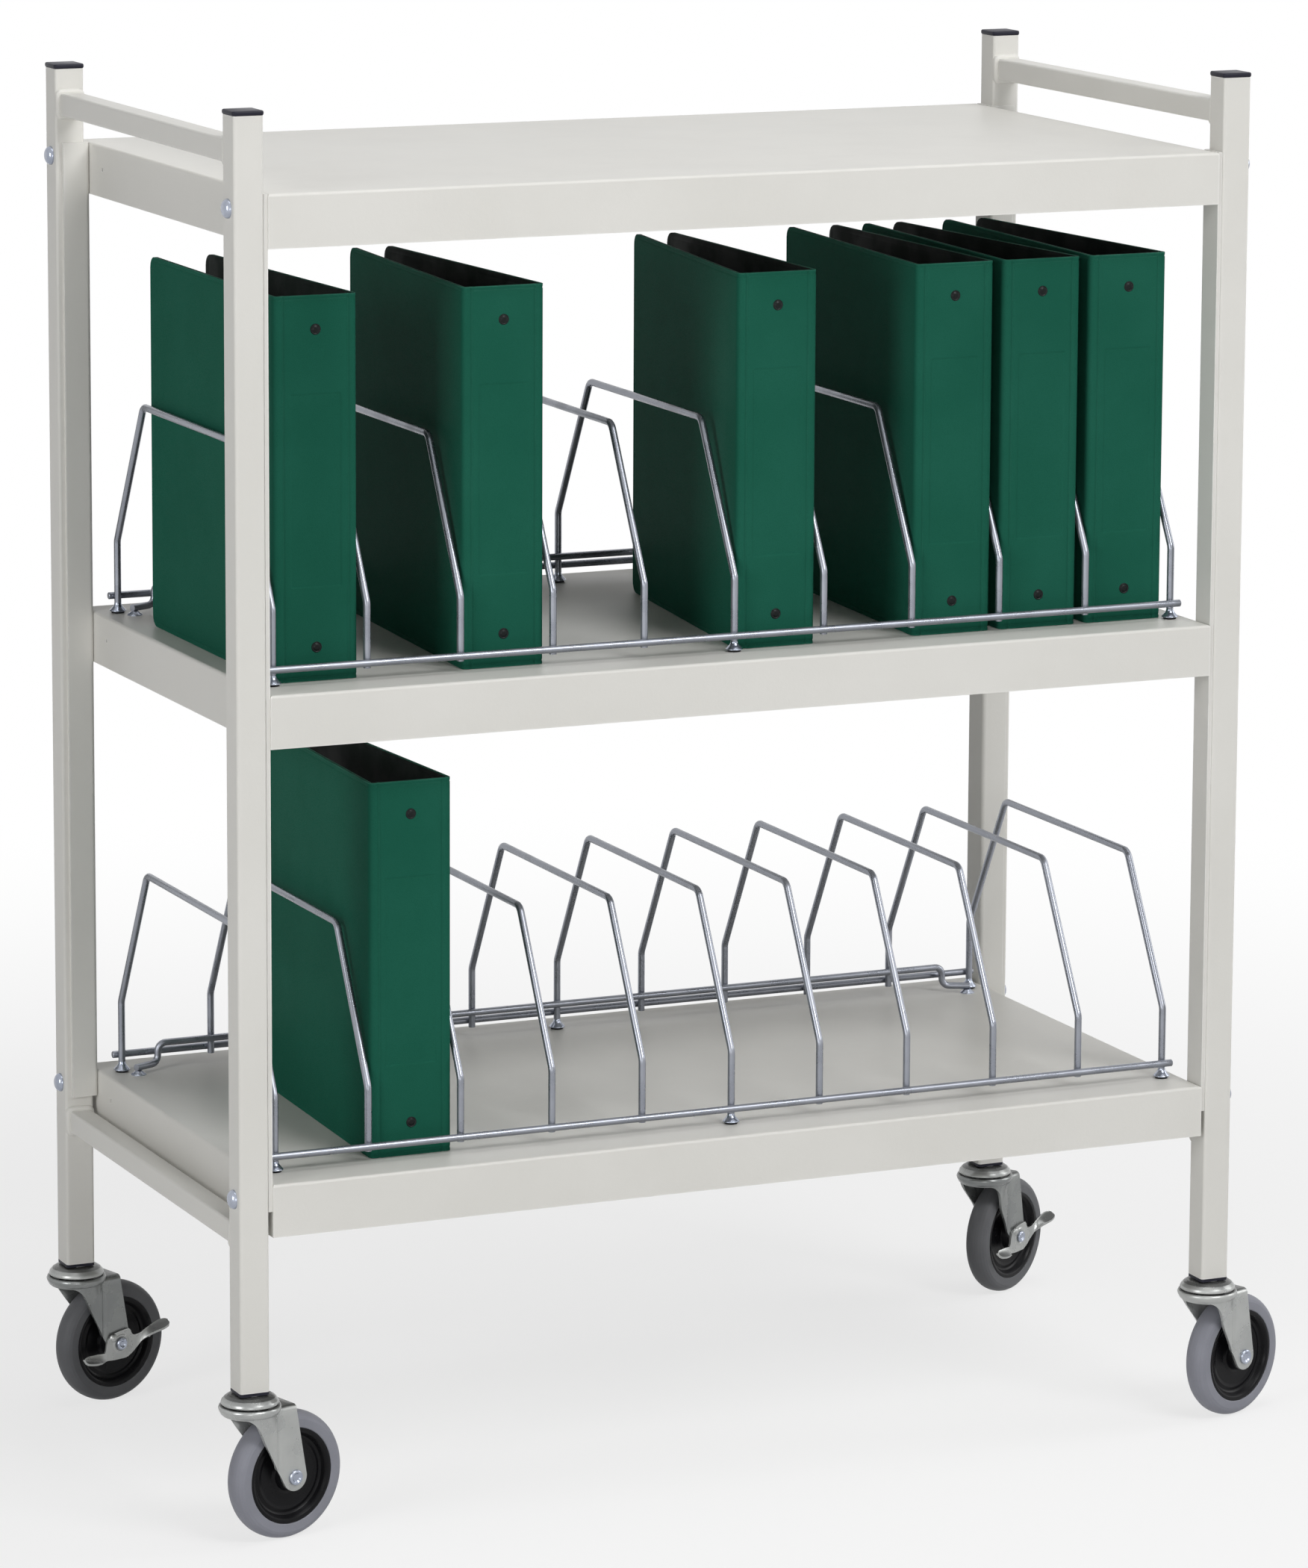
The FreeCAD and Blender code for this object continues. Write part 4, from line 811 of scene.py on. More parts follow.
def crown_mesh():
    """The fork's round crown: a race for the balls, and a rounded rim that tapers in below."""
    inner = [(0.0061, -0.0178), (0.0061, -0.0138), (0.0185, -0.0138), (0.0206, -0.0130)]
    rim = [(0.0236, -0.0119), (0.0250, -0.0126), (CROWN_RADIUS, -0.0145), (0.0254, -0.0162)]
    rim += [(0.0240, -0.0190), (0.0226, -0.0196), (0.0218, -0.0186), (0.0232, -0.0158)]
    rim += [(0.0226, -0.0146), (0.0200, -0.0158)]
    profile = [(radius, POST_BASE + height) for radius, height in inner + rim]
    return lathe(profile, 96, closed=True)


def bezier(points, share):
    while len(points) > 1:
        points = [start.lerp(end, share) for start, end in zip(points, points[1:])]
    return points[0]


def leg_edge():
    """The lower edge of one side of the fork: round the leg's end, up the web, round the crown.

    Each entry is the point on the lower edge and the point above it on the crown's outline."""
    entries = []
    arc_steps, web_steps, skirt_steps = 14, 22, 8
    crease_front, crease_rear = CREASE - CREASE_HALF, CREASE + CREASE_HALF
    rear_top, arc_share = TRAIL + 0.0018, 0.8
    arc_top = rear_top + arc_share * (crease_rear - rear_top)
    # The web leaves the leg's round along a tangent, and runs nearly straight to the crease's foot.
    first_turn, tangent_turn = math.radians(8), math.radians(-147)
    for step in range(arc_steps + 1):
        share = step / arc_steps
        turn = first_turn + (tangent_turn - first_turn) * share
        x, z = TRAIL + LEG_ROUND * math.cos(turn), AXLE_HEIGHT + LEG_ROUND * math.sin(turn)
        top = rear_top + (arc_top - rear_top) * share
        entries.append((Vector((x, LEG_FACE, z)), Vector((top, LEG_FACE, 0))))
    last = entries[-1][0]
    skirt_x, skirt_z = -0.0150, POST_BASE - 0.0204
    web = [(last.x, last.z), (TRAIL - 0.0185, AXLE_HEIGHT + 0.0100)]
    web += [(TRAIL - 0.0290, AXLE_HEIGHT + 0.0335), (TRAIL - 0.0400, POST_BASE - 0.0225)]
    web = [Vector(point) for point in [*web, (skirt_x, skirt_z)]]
    bell, hem = 0.0244, 0.0226
    start_turn = math.radians(52)
    end_turn = math.acos(skirt_x / hem)
    for step in range(1, web_steps + 1):
        edge = bezier(web, step / web_steps)
        if edge.x >= crease_front:
            # Between the leg's round and the crease's far side the sheet stays flat.
            lead = (last.x - edge.x) / (last.x - crease_front)
            top = arc_top + (crease_front - arc_top) * lead
            entries.append((Vector((edge.x, LEG_FACE, edge.y)), Vector((top, LEG_FACE, 0))))
            continue
        share = (crease_front - edge.x) / (crease_front - skirt_x)
        turn = start_turn + (end_turn - start_turn) * share
        ease = smooth_step(share, 0.0, 0.36)
        crease = Vector((crease_front, LEG_FACE, 0))
        on_bell = Vector((bell * math.cos(turn), bell * math.sin(turn), 0))
        on_hem = on_bell * (hem / bell)
        flare = smooth_step(edge.y, AXLE_HEIGHT + 0.026, skirt_z)
        edge_y = LEG_FACE + (on_hem.y - LEG_FACE) * flare
        entries.append((Vector((edge.x, edge_y, edge.y)), crease.lerp(on_bell, ease)))
    for step in range(1, skirt_steps + 1):
        turn = end_turn + (math.pi - end_turn) * step / skirt_steps
        direction = Vector((math.cos(turn), math.sin(turn), 0))
        low_point = direction * hem
        low_point.z = skirt_z
        entries.append((low_point, direction * bell))
    return entries


def fork_skin():
    """Both legs and the flared web between them, as one pressed sheet."""
    side = leg_edge()
    mirrored = [(Vector((e.x, -e.y, e.z)), Vector((t.x, -t.y, t.z))) for e, t in reversed(side[:-1])]
    crown_top, leg_top, rows = POST_BASE - 0.0172, SADDLE_TOP - FOLD, 16
    sheet = []
    for row in range(rows + 1):
        share = row / rows
        spread = (1 - share) ** 1.9
        line = []
        for edge, top in side + mirrored:
            x = top.x + (edge.x - top.x) * share
            y = edge.y + (top.y - edge.y) * spread
            groove = CREASE_DEPTH * dip(x, CREASE, 2 * CREASE_HALF) * smooth_step(share, 0.0, 0.1)
            y -= math.copysign(groove, y)
            on_leg = smooth_step(top.x, CREASE - CREASE_HALF, CREASE + CREASE_HALF)
            top_z = crown_top + (leg_top - crown_top) * on_leg
            line.append(Vector((x, y, top_z + (edge.z - top_z) * share)))
        sheet.append(line)
    return grid(sheet)


def fork_saddle():
    """The folded plate that joins the tops of the two legs behind the crown."""
    steps = 7
    top, inner = SADDLE_TOP, LEG_FACE - FOLD
    # The fold's hem tucks in behind the leg's sheet.
    side = [(LEG_FACE - 0.0003, top - FOLD - 0.0015)]
    for step in range(steps + 1):
        turn = math.pi / 2 * step / steps
        side.append((inner + FOLD * math.cos(turn), top - FOLD + FOLD * math.sin(turn)))
    section = side + [(-y, z) for y, z in reversed(side)]
    stations = (0.004, TRAIL - 0.012, TRAIL - 0.004, TRAIL + 0.0020)
    return grid([[Vector((x, y, z)) for y, z in section] for x in stations])


def add_fork(corner):
    thickness = ("SOLIDIFY", {"thickness": FORK_SHEET, "offset": -1.0, "use_even_offset": False})
    still = Matrix.Identity(4)
    skin, saddle = fork_skin(), fork_saddle()
    for sheet in (skin, saddle):
        bmesh.ops.remove_doubles(sheet, verts=sheet.verts, dist=1e-6)
        bmesh.ops.recalc_face_normals(sheet, faces=sheet.faces)
        outward = max(sheet.faces, key=lambda face: face.calc_center_median().y).normal.y > 0
        if not outward:
            bmesh.ops.reverse_faces(sheet, faces=sheet.faces)
    skin = modified(skin, thickness, edge_bevel(0.0005))
    saddle = modified(saddle, thickness, edge_bevel(0.0004))
    whole = merged((skin, still, 0), (saddle, still, 0), (crown_mesh(), still, 0))
    whole.transform(caster_place(corner))
    body = f"swivel_{corner}"
    # The rear casters take the darker zinc copy: painted shade.
    zinc = SHADED_ZINC if corner in BRAKED_CORNERS else CASTER_ZINC
    add_piece(f"pressed_fork_{corner}", whole, [zinc], body, [f"fork_{corner}"], 50)


def axle_turn():
    """Turns a piece made along Z to lie along a caster's axle, +Z toward its head."""
    return Matrix.Translation((TRAIL, 0, AXLE_HEIGHT)) @ Matrix.Rotation(math.pi / 2, 4, "X")


def add_axle(corner):
    """A pin with a dished, rolled-over head outside, and a hexagon nut inside."""
    head, pin, rim = LEG_FACE, 0.004, 0.0064
    if corner in BRAKED_CORNERS:
        head, rim = LEG_FACE + 0.0028, 0.0052
    profile = [(0, head + 0.0010), (rim - 0.0034, head + 0.0011), (rim - 0.0023, head + 0.0022)]
    profile += [(rim - 0.0014, head + 0.0026), (rim - 0.0004, head + 0.0021), (rim, head + 0.0012)]
    profile += [(rim, head), (pin, head)]
    profile += [(pin, -LEG_FACE - 0.0060), (0.0034, -LEG_FACE - 0.0066), (0, -LEG_FACE - 0.0066)]
    nut_radius, nut_height = 0.0065, 0.0045
    sixths = [math.pi * step / 3 for step in range(6)]
    hexagon = [(nut_radius * math.cos(sixth), nut_radius * math.sin(sixth)) for sixth in sixths]
    nut = modified(prism(hexagon, -LEG_FACE - nut_height, -LEG_FACE), edge_bevel(0.0006))
    turn = axle_turn()
    whole = merged((lathe(rounded(profile, 0.0005, 2), 40), turn, 0), (nut, turn, 0))
    whole.transform(caster_place(corner))
    body = f"swivel_{corner}"
    add_piece(f"riveted_axle_{corner}", whole, [ZINC], body, [f"axle_{corner}"])


def add_wheel(corner):
    """A moulded hub with raised rings, and a grey tyre with a flat side band and a round tread."""
    rim, bore, boss = 0.040, 0.00405, 0.0126
    half = [(bore, boss), (0.0105, boss), (0.0118, boss - 0.0012), (0.0132, 0.0052), (0.0160, 0.0042)]
    half += [(0.0262, 0.0040), (0.0280, 0.0046), (0.0290, 0.0050), (0.0300, 0.0046), (0.0318, 0.0040)]
    half += [(0.0336, 0.0050), (0.0350, 0.0078), (0.0362, 0.0096), (0.0376, 0.0101), (rim, 0.0101)]
    profile = half + [(radius, -width) for radius, width in reversed(half)]
    turn = axle_turn()
    hub = merged((lathe(rounded(profile, 0.0007, 2, closed=True), 96, closed=True), turn, 0))
    hub.transform(caster_place(corner))
    body = f"wheel_{corner}"
    add_piece(f"moulded_hub_{corner}", hub, [HUB_PLASTIC], body, [f"hub_{corner}"], 50)

    low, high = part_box(f"tyre_{corner}")
    tread, width, seam = (high.z - low.z) / 2, 0.0105, 0.0002
    side = [(rim, width - 0.0004), (rim + 0.0006, width), (tread - 0.0064, width)]
    side += [(tread - 0.0060, width - 0.0002), (tread - 0.0042, width - 0.0009)]
    side += [(tread - 0.0021, width - 0.0029), (tread - 0.0007, width - 0.0056)]
    side += [(tread - 0.0001, 0.0024), (tread - seam, 0.0006), (tread, 0.0)]
    outline = side + [(radius, -across) for radius, across in reversed(side[:-1])]
    corner_radii = [0.0006 if radius < tread - 0.0061 else 0.002 for radius, across in outline]
    # The moulding seam along the middle of the tread keeps its edges.
    corner_radii[len(side) - 2 : len(side) + 1] = [0.0, 0.0, 0.0]
    tyre = merged((lathe(rounded(outline, corner_radii, 3, closed=True), 128, closed=True), turn, 0))
    tyre.transform(caster_place(corner))
    # The rear tyres take the darker rubber copy: painted shade.
    rubber = SHADED_TYRE_RUBBER if corner in BRAKED_CORNERS else TYRE_RUBBER
    add_piece(f"rounded_tyre_{corner}", tyre, [rubber], body, [f"tyre_{corner}"], 50)


def smooth_line(points, x):
    """The height at x of a smooth line through (x, height) points, with no dips between them."""
    slopes = [(z1 - z0) / (x1 - x0) for (x0, z0), (x1, z1) in zip(points, points[1:])]
    inner = [2 * a * b / (a + b) if a * b > 0 else 0.0 for a, b in zip(slopes, slopes[1:])]
    tangents = [slopes[0], *inner, slopes[-1]]
    for index, ((x0, z0), (x1, z1)) in enumerate(zip(points, points[1:])):
        if x <= x1:
            width = x1 - x0
            share = min(1.0, max(0.0, (x - x0) / width))
            rest = 1 - share
            start = z0 * (1 + 2 * share) + tangents[index] * width * share
            end = z1 * (1 + 2 * rest) - tangents[index + 1] * width * rest
            return start * rest**2 + end * share**2
    return points[-1][1]


# The brake lever seen along the axle: from the axle, rearward and then up or outward.
LEVER_TOP = [(-0.0400, -0.0070), (-0.0388, -0.0063), (-0.0340, -0.0056), (-0.0260, -0.0056)]
LEVER_TOP += [(-0.0180, -0.0060), (-0.0163, -0.0046), (-0.0152, 0.0010), (-0.0125, 0.0062)]
LEVER_TOP += [(-0.0075, 0.0098), (0.0000, 0.0114), (0.0080, 0.0122), (0.0102, 0.0104)]
LEVER_TOP += [(0.0116, 0.0070), (0.0140, 0.0054), (0.0190, 0.0058), (0.0270, 0.0093)]
LEVER_TOP += [(0.0340, 0.0122), (0.0410, 0.0146), (0.0450, 0.0152), (0.0470, 0.0146)]
LEVER_BOTTOM = [(-0.0400, -0.0090), (-0.0388, -0.0101), (-0.0330, -0.0112), (-0.0240, -0.0122)]
LEVER_BOTTOM += [(-0.0170, -0.0128), (-0.0060, -0.0136), (0.0045, -0.0134), (0.0112, -0.0104)]
LEVER_BOTTOM += [(0.0170, -0.0055), (0.0205, -0.0010), (0.0245, 0.0030), (0.0310, 0.0072)]
LEVER_BOTTOM += [(0.0390, 0.0098), (0.0448, 0.0116), (0.0470, 0.0126)]
LEVER_REACH = [(-0.0400, 0.0042), (-0.0385, 0.0058), (-0.0310, 0.0068), (-0.0230, 0.0056)]
LEVER_REACH += [(-0.0165, 0.0012), (-0.0135, 0.0), (0.0150, 0.0), (0.0205, 0.0018), (0.0260, 0.0054)]
LEVER_REACH += [(0.0330, 0.0090), (0.0395, 0.0106), (0.0440, 0.0098), (0.0460, 0.0084), (0.0470, 0.0070)]
# How far out the upper edge stands: the tips of the toe and the pedal are round seen from above.
LEVER_INNER = [(-0.0400, 0.0018), (-0.0386, 0.0008), (-0.0356, 0.0), (0.0380, 0.0), (0.0424, 0.0008)]
LEVER_INNER += [(0.0456, 0.0026), (0.0470, 0.0040)]
LEVER_STEP = 0.0012
LEVER_ROWS = 12


def lever_sheet_mesh(inner_face):
    """The lever's outer skin: each column runs from its top edge down and out to its lower edge."""
    low, high = LEVER_TOP[0][0], LEVER_TOP[-1][0]
    tables = (LEVER_TOP, LEVER_BOTTOM, LEVER_REACH, LEVER_INNER)
    columns = {x for line in tables for x, height in line}
    columns |= {low + LEVER_STEP * step for step in range(int((high - low) / LEVER_STEP))}
    rows = []
    for x in sorted(columns):
        top, bottom = smooth_line(LEVER_TOP, x), smooth_line(LEVER_BOTTOM, x)
        reach, inner = smooth_line(LEVER_REACH, x), smooth_line(LEVER_INNER, x)
        column = []
        for row in range(LEVER_ROWS + 1):
            share = row / LEVER_ROWS
            out = inner_face + inner + (reach - inner) * share**1.5
            column.append(Vector((TRAIL + x, -out, AXLE_HEIGHT + top + (bottom - top) * share)))
        rows.append(column)
    return grid(rows)


def add_brake_lever(corner):
    """A pressed rocker on the axle's end: a plate, a pedal turned outward behind, a toe in front."""
    gap, sheet = 0.0004, 0.002
    plate = lever_sheet_mesh(LEG_FACE + gap + sheet)
    bmesh.ops.recalc_face_normals(plate, faces=plate.faces)
    if max(plate.faces, key=lambda side: abs(side.normal.y)).normal.y > 0:
        bmesh.ops.reverse_faces(plate, faces=plate.faces)
    thickness = ("SOLIDIFY", {"thickness": sheet, "offset": -1.0, "use_even_offset": False})
    plate = modified(plate, thickness, edge_bevel(0.0005))
    face = LEG_FACE + gap + sheet
    dome_x, dome_height = TRAIL - 0.0078, AXLE_HEIGHT + 0.0060
    stamped = [(0, 0.0024), (0.0018, 0.0021), (0.0032, 0.0010), (0.0039, -0.0002)]
    dome_place = Matrix.Translation((dome_x, -face, dome_height))
    turn = Matrix.Rotation(math.pi / 2, 4, "X")
    collar = [(0.0056, 0.0), (0.0064, 0.0005), (0.0076, 0.0005), (0.0088, -0.0002)]
    collar_place = Matrix.Translation((TRAIL, -face, AXLE_HEIGHT))
    still = Matrix.Identity(4)
    whole = merged(
        (plate, still, 0),
        (lathe(rounded(stamped, 0.0006, 3), 24), dome_place @ turn, 0),
        (lathe(rounded(collar, 0.0006, 3), 48), collar_place @ turn, 0),
    )
    whole.transform(caster_place(corner))
    body, node = f"brake_{corner}", f"brake_lever_{corner}"
    add_piece(f"pressed_{node}", whole, [CASTER_ZINC], body, [node], 50)


# ---- binders -----------------------------------------------------------------------------------

# The binders' bodies, and how far their left and right boards lean in at the rear edge.
BINDERS = {
    "binder_middle_1": (0.002, 0.018),
    "binder_middle_3": (0.018, 0.020),
    "binder_middle_6": (0.036, 0.002),
    "binder_middle_8": (0.018, 0.010),
    "binder_middle_9": (0.009, 0.030),
    "binder_middle_10": (0.006, 0.030),
    "binder_bottom_2": (0.012, 0.016),
}
BINDER_WIDTH = 0.072
BINDER_LENGTH = 0.292
BINDER_HEIGHT = 0.312
BOARD = 0.003
RIVET_REACH = 0.1285


def slot_middle(name):
    """The middle of the slot that a binder stands in."""
    number = int(name.rsplit("_", 1)[1])
    return FIRST_DIVIDER + (number - 0.5) * RACK_SPAN / (DIVIDER_COUNT - 1)


def spine_stations():
    """Places across the spine: close together at the creases and at the panel's edges."""
    half, panel = BINDER_WIDTH / 2, 0.0215
    crease = half - 0.0082
    near = [offset * 0.0006 for offset in range(-3, 4)]
    places = {round(sign * (at + step), 5) for sign in (-1, 1) for at in (crease, panel) for step in near}
    places |= {round(step * 0.006, 5) for step in range(-3, 4)}
    return sorted(places), crease, panel


def height_stations(panel_low, panel_high):
    near = [offset * 0.0006 for offset in range(-3, 4)]
    places = {round(at + step, 5) for at in (panel_low, panel_high) for step in near}
    for edge, sign in ((0.0, 1), (BINDER_HEIGHT, -1)):
        places |= {round(edge + sign * step * 0.0008, 5) for step in range(0, 7)}
    places |= {round(BINDER_HEIGHT * step / 16, 5) for step in range(1, 16)}
    return sorted(places)


def cover_mesh(left_lean, right_lean):
    """The folded cover: two boards and a spine, with creases, a sealed rim and a label panel."""
    half, fold = BINDER_WIDTH / 2, 0.0052
    across, crease, panel = spine_stations()
    panel_low, panel_high = 0.245 * BINDER_HEIGHT, 0.745 * BINDER_HEIGHT
    heights = height_stations(panel_low, panel_high)
    corner = 0.010
    seal_depth, seal_inset, seal_width = 0.0004, 0.0030, 0.0022
    crease_depth, crease_width = 0.0008, 0.0036
    panel_depth, slope = 0.0005, 0.0004
    lines = []
    for sign, lean in ((-1, left_lean), (1, right_lean)):
        rear = Vector((sign * (half - lean), BINDER_LENGTH))
        front = Vector((sign * half, 0.0))
        toward = (rear - front).normalized()
        depths = [0.0, 0.0006, 0.0012, 0.0018, 0.0025, 0.0034, 0.0050, 0.0075, corner]
        depths += [0.03, 0.07, 0.12, 0.17, 0.22, 0.26]
        board = [(rear - toward * depth, depth) for depth in depths]
        bend = rounded([front + toward * 0.02, front, Vector((0.0, 0.0))], fold, 5)[1:-1]
        lines.append(board + [(point, 1.0) for point in bend])
    left, right = lines
    path = left + [(Vector((x, 0.0)), 1.0) for x in across] + list(reversed(right))
    rows = []
    for point, from_rear in path:
        index = len(rows)
        before = path[max(index - 1, 0)][0]
        after = path[min(index + 1, len(path) - 1)][0]
        tangent = (after - before).normalized()
        outward = Vector((tangent.y, -tangent.x))
        inset = 0.0
        if from_rear < corner:
            inset = corner - math.sqrt(max(0.0, corner**2 - (corner - from_rear) ** 2))
        on_spine = from_rear == 1.0 and abs(point.x) < half - fold
        row = []
        for height in heights:
            rim = min(height, BINDER_HEIGHT - height, from_rear)
            depth = seal_depth * dip(rim, seal_inset, seal_width)
            if on_spine:
                depth += crease_depth * dip(abs(point.x), crease, crease_width)
                inside = smooth_step(panel - abs(point.x), -slope, slope)
                inside *= smooth_step(height, panel_low - slope, panel_low + slope)
                inside *= smooth_step(height, panel_high + slope, panel_high - slope)
                depth += panel_depth * inside
            place = point - outward * depth
            scaled = inset + height * (BINDER_HEIGHT - 2 * inset) / BINDER_HEIGHT
            row.append(Vector((place.x, place.y, scaled)))
        rows.append(row)
    cover = grid(rows)
    bmesh.ops.recalc_face_normals(cover, faces=cover.faces)
    spine = min(cover.faces, key=lambda face: face.calc_center_median().y)
    if spine.normal.y > 0:
        bmesh.ops.reverse_faces(cover, faces=cover.faces)
    # The faces that the solidify adds take the second material, the near-black painted shade.
    thickness = ("SOLIDIFY", {"thickness": BOARD, "offset": -1.0, "material_offset": 1})
    return modified(cover, thickness, edge_bevel(0.0009))


def eyelet_mesh():
    """A burnished rivet head on the spine: a low black dome inside a thin rolled ring."""
    profile = [(0, 0.0009), (0.0018, 0.0008), (0.0029, 0.0004), (0.0033, 0.0001), (0.0037, 0.0004)]
    profile += [(0.0041, 0.0004), (0.0045, 0.0), (0.0045, -0.0012), (0, -0.0012)]
    return lathe(rounded(profile, 0.0004, 2), 32)


def ring_mechanism():
    """The arched plate inside the spine, its levers and three round rings."""
    width, height, spacing, radius, wire = 0.020, 0.280, 0.108, 0.021, 0.0016
    crown, steps = 0.0030, 8
    arch = []
    for step in range(steps + 1):
        share = 2 * step / steps - 1
        arch.append((share * width / 2, BOARD + crown * (1 - share * share) + 0.0002))
    arch += [(width / 2, BOARD), (-width / 2, BOARD)]
    middle_height = BINDER_HEIGHT / 2
    plate = prism(arch, middle_height - height / 2, middle_height + height / 2)
    parts = [(modified(plate, edge_bevel(0.0006)), Matrix.Identity(4), 0)]
    rolls = [2 * math.pi * side / 10 for side in range(10)]
    section = [(radius + wire * math.cos(roll), wire * math.sin(roll)) for roll in rolls]
    for step in (-1, 0, 1):
        place = Matrix.Translation((0, BOARD * 1.5 + radius, middle_height + step * spacing))
        parts.append((lathe(section, 40, closed=True), place, 0))
    tab_half = 0.0008
    tab_outline = [(-0.006, 0.0045), (0.006, 0.0045), (0.004, 0.016), (-0.004, 0.016)]
    for sign in (-1, 1):
        tab = prism(rounded(tab_outline, 0.002, closed=True), -tab_half, tab_half)
        place = Matrix.Translation((0, 0, middle_height + sign * (height / 2 - tab_half)))
        parts.append((modified(tab, edge_bevel(0.0004)), place, 0))
    whole = merged(*parts)
    bmesh.ops.recalc_face_normals(whole, faces=whole.faces)
    return whole


def add_binder(name, left_lean, right_lean):
    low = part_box(name)[0]
    rivets_proud = 0.0008
    place = Matrix.Translation((slot_middle(name), low.y + rivets_proud, low.z))
    cover = cover_mesh(left_lean, right_lean)
    cover.transform(place)
    add_piece(f"{name}_cover", cover, [VINYL, INSIDE_SHADE], name, [name], 50)
    rings = ring_mechanism()
    rings.transform(place)
    add_piece(f"{name}_ring_metal", rings, [RING_NICKEL], name)
    turn = Matrix.Rotation(math.pi / 2, 4, "X")
    heads = []
    for sign in (-1, 1):
        spot = Matrix.Translation((0, -0.0001, BINDER_HEIGHT / 2 + sign * RIVET_REACH))
        heads.append((eyelet_mesh(), spot @ turn, 0))
    eyelets = merged(*heads)
    eyelets.transform(place)
    add_piece(f"{name}_rivets", eyelets, [EYELET], name)


# ---- studio ------------------------------------------------------------------------------------

CAMERA_PLACE = Vector((-2.2953, -5.1564, 1.6914))
CAMERA_YAW = math.radians(24.0847)
CAMERA_PITCH = math.radians(9.7842)
CAMERA_ROLL = math.radians(0.277)
CAMERA_LENS = 155.061
CAMERA_SENSOR = 36.0
CAMERA_SHIFT = -0.12


def add_camera():
    data = bpy.data.cameras.new("studio_camera")
    data.lens = CAMERA_LENS
    data.sensor_width = CAMERA_SENSOR
    data.shift_y = CAMERA_SHIFT
    camera = bpy.data.objects.new("studio_camera", data)
    bpy.context.collection.objects.link(camera)
    forward = Vector((
        math.sin(CAMERA_YAW) * math.cos(CAMERA_PITCH),
        math.cos(CAMERA_YAW) * math.cos(CAMERA_PITCH),
        -math.sin(CAMERA_PITCH),
    ))
    level = Vector((math.cos(CAMERA_YAW), -math.sin(CAMERA_YAW), 0))
    upright = level.cross(forward)
    right = level * math.cos(CAMERA_ROLL) + upright * math.sin(CAMERA_ROLL)
    up = upright * math.cos(CAMERA_ROLL) - level * math.sin(CAMERA_ROLL)
    turn = Matrix((right, up, -forward)).transposed().to_4x4()
    camera.matrix_world = Matrix.Translation(CAMERA_PLACE) @ turn
    bpy.context.scene.camera = camera


def add_softbox(name, place, target, width, height, power, color=(1.0, 1.0, 1.0)):
    data = bpy.data.lights.new(name, "AREA")
    data.shape = "RECTANGLE"
    data.size, data.size_y = width, height
    data.energy = power
    data.color = color
    lamp = bpy.data.objects.new(name, data)
    bpy.context.collection.objects.link(lamp)
    place, target = Vector(place), Vector(target)
    lamp.location = place
    lamp.rotation_mode = "QUATERNION"
    lamp.rotation_quaternion = (target - place).to_track_quat("-Z", "Y")


def seen_directly(tree):
    """1 for rays from the camera and for reflected or transmitted ones, which show the backdrop."""
    path = tree.add("ShaderNodeLightPath").outputs
    either = tree.math("MAXIMUM", path["Is Camera Ray"], path["Is Glossy Ray"])
    return tree.math("MAXIMUM", either, path["Is Transmission Ray"])


def add_world():
    world = bpy.data.worlds.new("studio")
    bpy.context.scene.world = world
    world.use_nodes = True
    tree = Tree(world.node_tree)
    background = world.node_tree.nodes["Background"]
    ambient = 0.03
    tree.feed(background.inputs["Color"], rgb(1.0, 1.0, 1.0))
    strength = tree.add("ShaderNodeMix", {0: seen_directly(tree), 2: ambient, 3: 1.0})
    tree.feed(background.inputs["Strength"], strength.outputs[0])


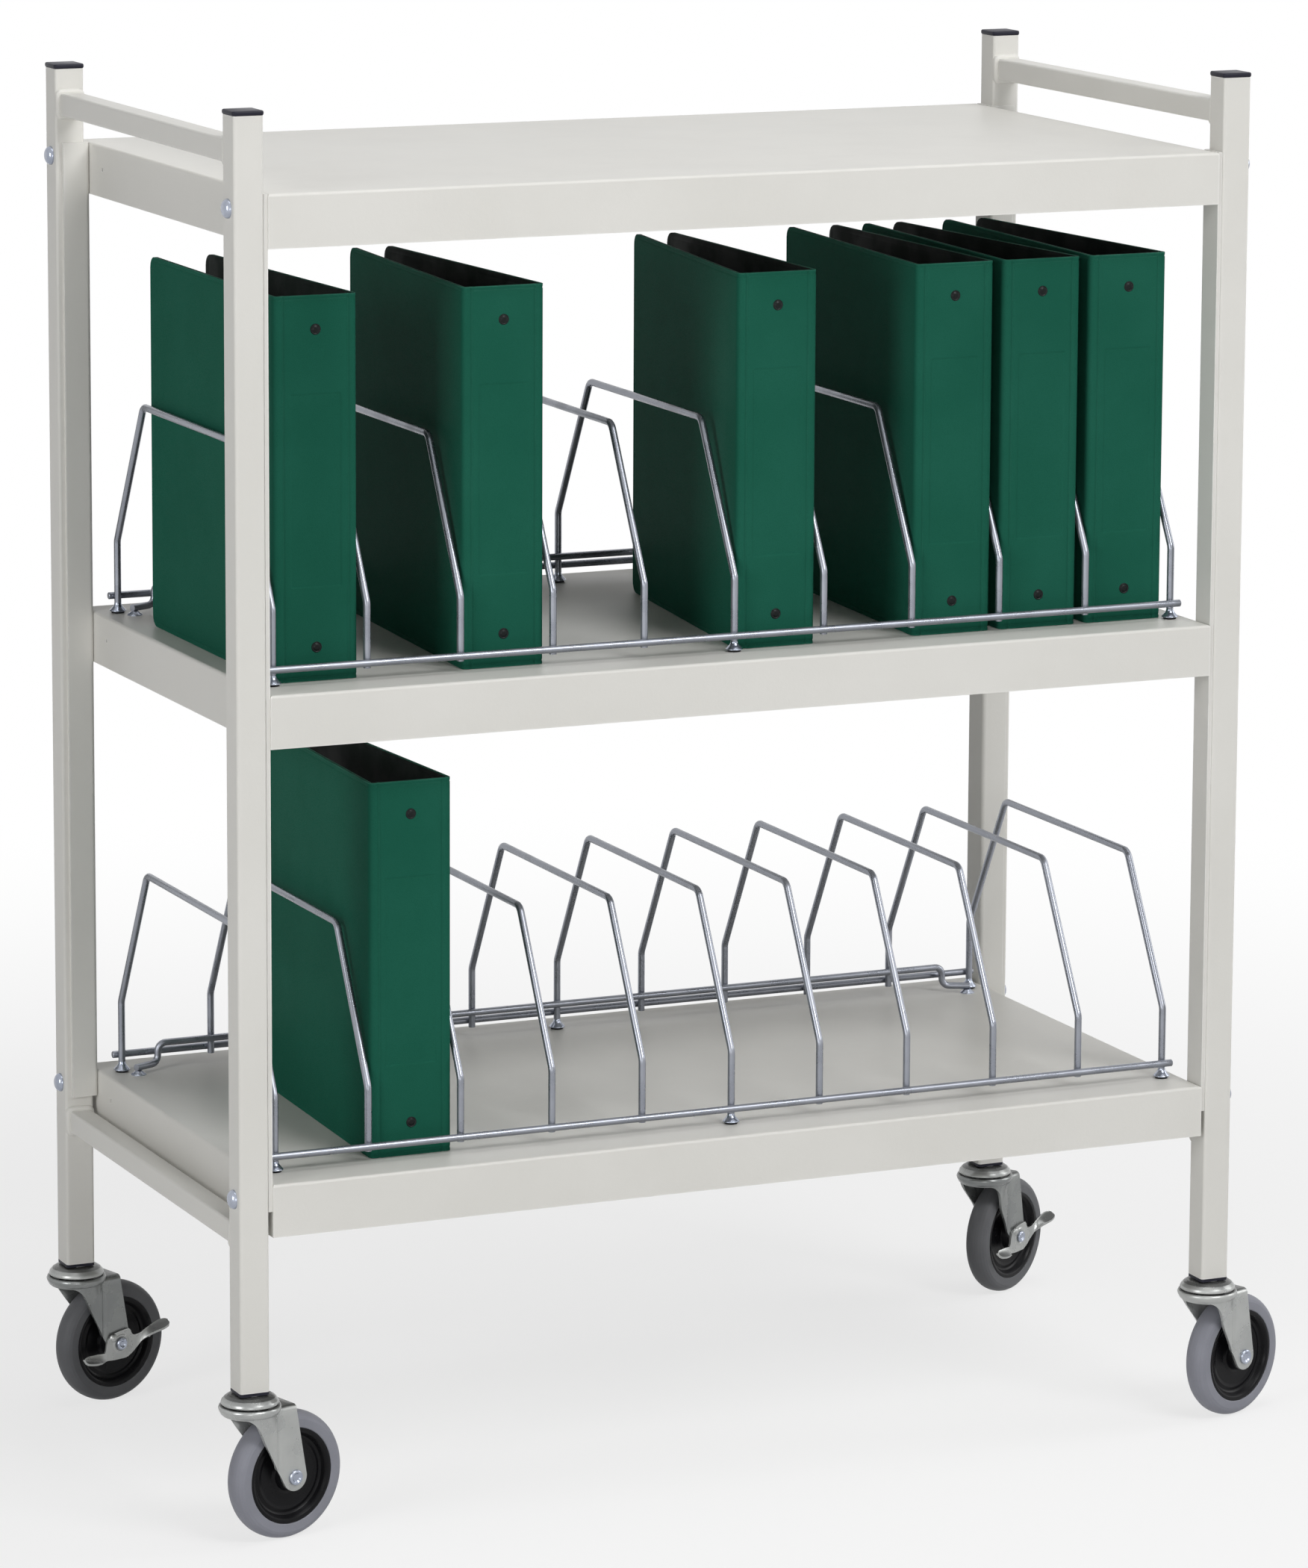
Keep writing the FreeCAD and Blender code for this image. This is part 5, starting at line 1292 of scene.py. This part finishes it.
def add_floor():
    """A pale floor that turns into the white backdrop away from the object."""
    mesh = bmesh.new()
    reach = 40.0
    bmesh.ops.create_grid(mesh, x_segments=1, y_segments=1, size=reach)
    data = bpy.data.meshes.new("studio_floor")
    mesh.to_mesh(data)
    mesh.free()
    material = bpy.data.materials.new("pale_floor")
    material.use_nodes = True
    tree = Tree(material.node_tree)
    output = material.node_tree.nodes["Material Output"]
    material.node_tree.nodes.remove(material.node_tree.nodes["Principled BSDF"])
    place = tree.add("ShaderNodeTexCoord").outputs["Object"]
    away = tree.add("ShaderNodeVectorMath", {0: place}, operation="LENGTH").outputs["Value"]
    near_share, near, far = 0.72, 0.7, 2.6
    whiteness = tree.math("MULTIPLY", tree.remap(away, near, far, near_share, 1.0), seen_directly(tree))
    lit = tree.add("ShaderNodeBsdfDiffuse", {"Color": rgb(0.80, 0.80, 0.80)}).outputs[0]
    white = tree.add("ShaderNodeEmission", {"Color": rgb(1.0, 1.0, 1.0), "Strength": 1.0}).outputs[0]
    mixed = tree.add("ShaderNodeMixShader", {0: whiteness, 1: lit, 2: white}).outputs[0]
    tree.feed(output.inputs["Surface"], mixed)
    data.materials.append(material)
    floor = bpy.data.objects.new("studio_floor", data)
    bpy.context.collection.objects.link(floor)


def add_studio():
    bpy.context.scene.view_settings.view_transform = "Standard"
    add_world()
    add_floor()
    target = (0, 0, 0.6)
    add_softbox("key_front_right", (1.2, -3.6, 3.6), target, 2.2, 1.8, 112)
    add_softbox("fill_left", (-4.05, -1.85, 1.7), target, 1.6, 2.4, 65)
    add_softbox("fill_front_low", (-1.6, -4.0, 1.0), target, 1.2, 0.9, 17)
    add_softbox("fill_right", (4.0, -0.5, 2.0), target, 1.6, 2.4, 40)
    add_softbox("overhead", (0.2, -0.3, 4.2), target, 2.6, 2.0, 47)
    add_camera()


# ---- the whole scene ---------------------------------------------------------------------------

finish_frame()
add_post_caps()
add_frame_bolts()
add_weld_beads()
for rack_name in RACKS:
    add_wire_rack(rack_name)
add_weld_nuggets()
add_feet()
add_raceways()
for corner_name in CORNERS:
    add_fork(corner_name)
    add_axle(corner_name)
    add_wheel(corner_name)
for corner_name in BRAKED_CORNERS:
    add_brake_lever(corner_name)
for binder_name, leans in BINDERS.items():
    add_binder(binder_name, *leans)
add_studio()
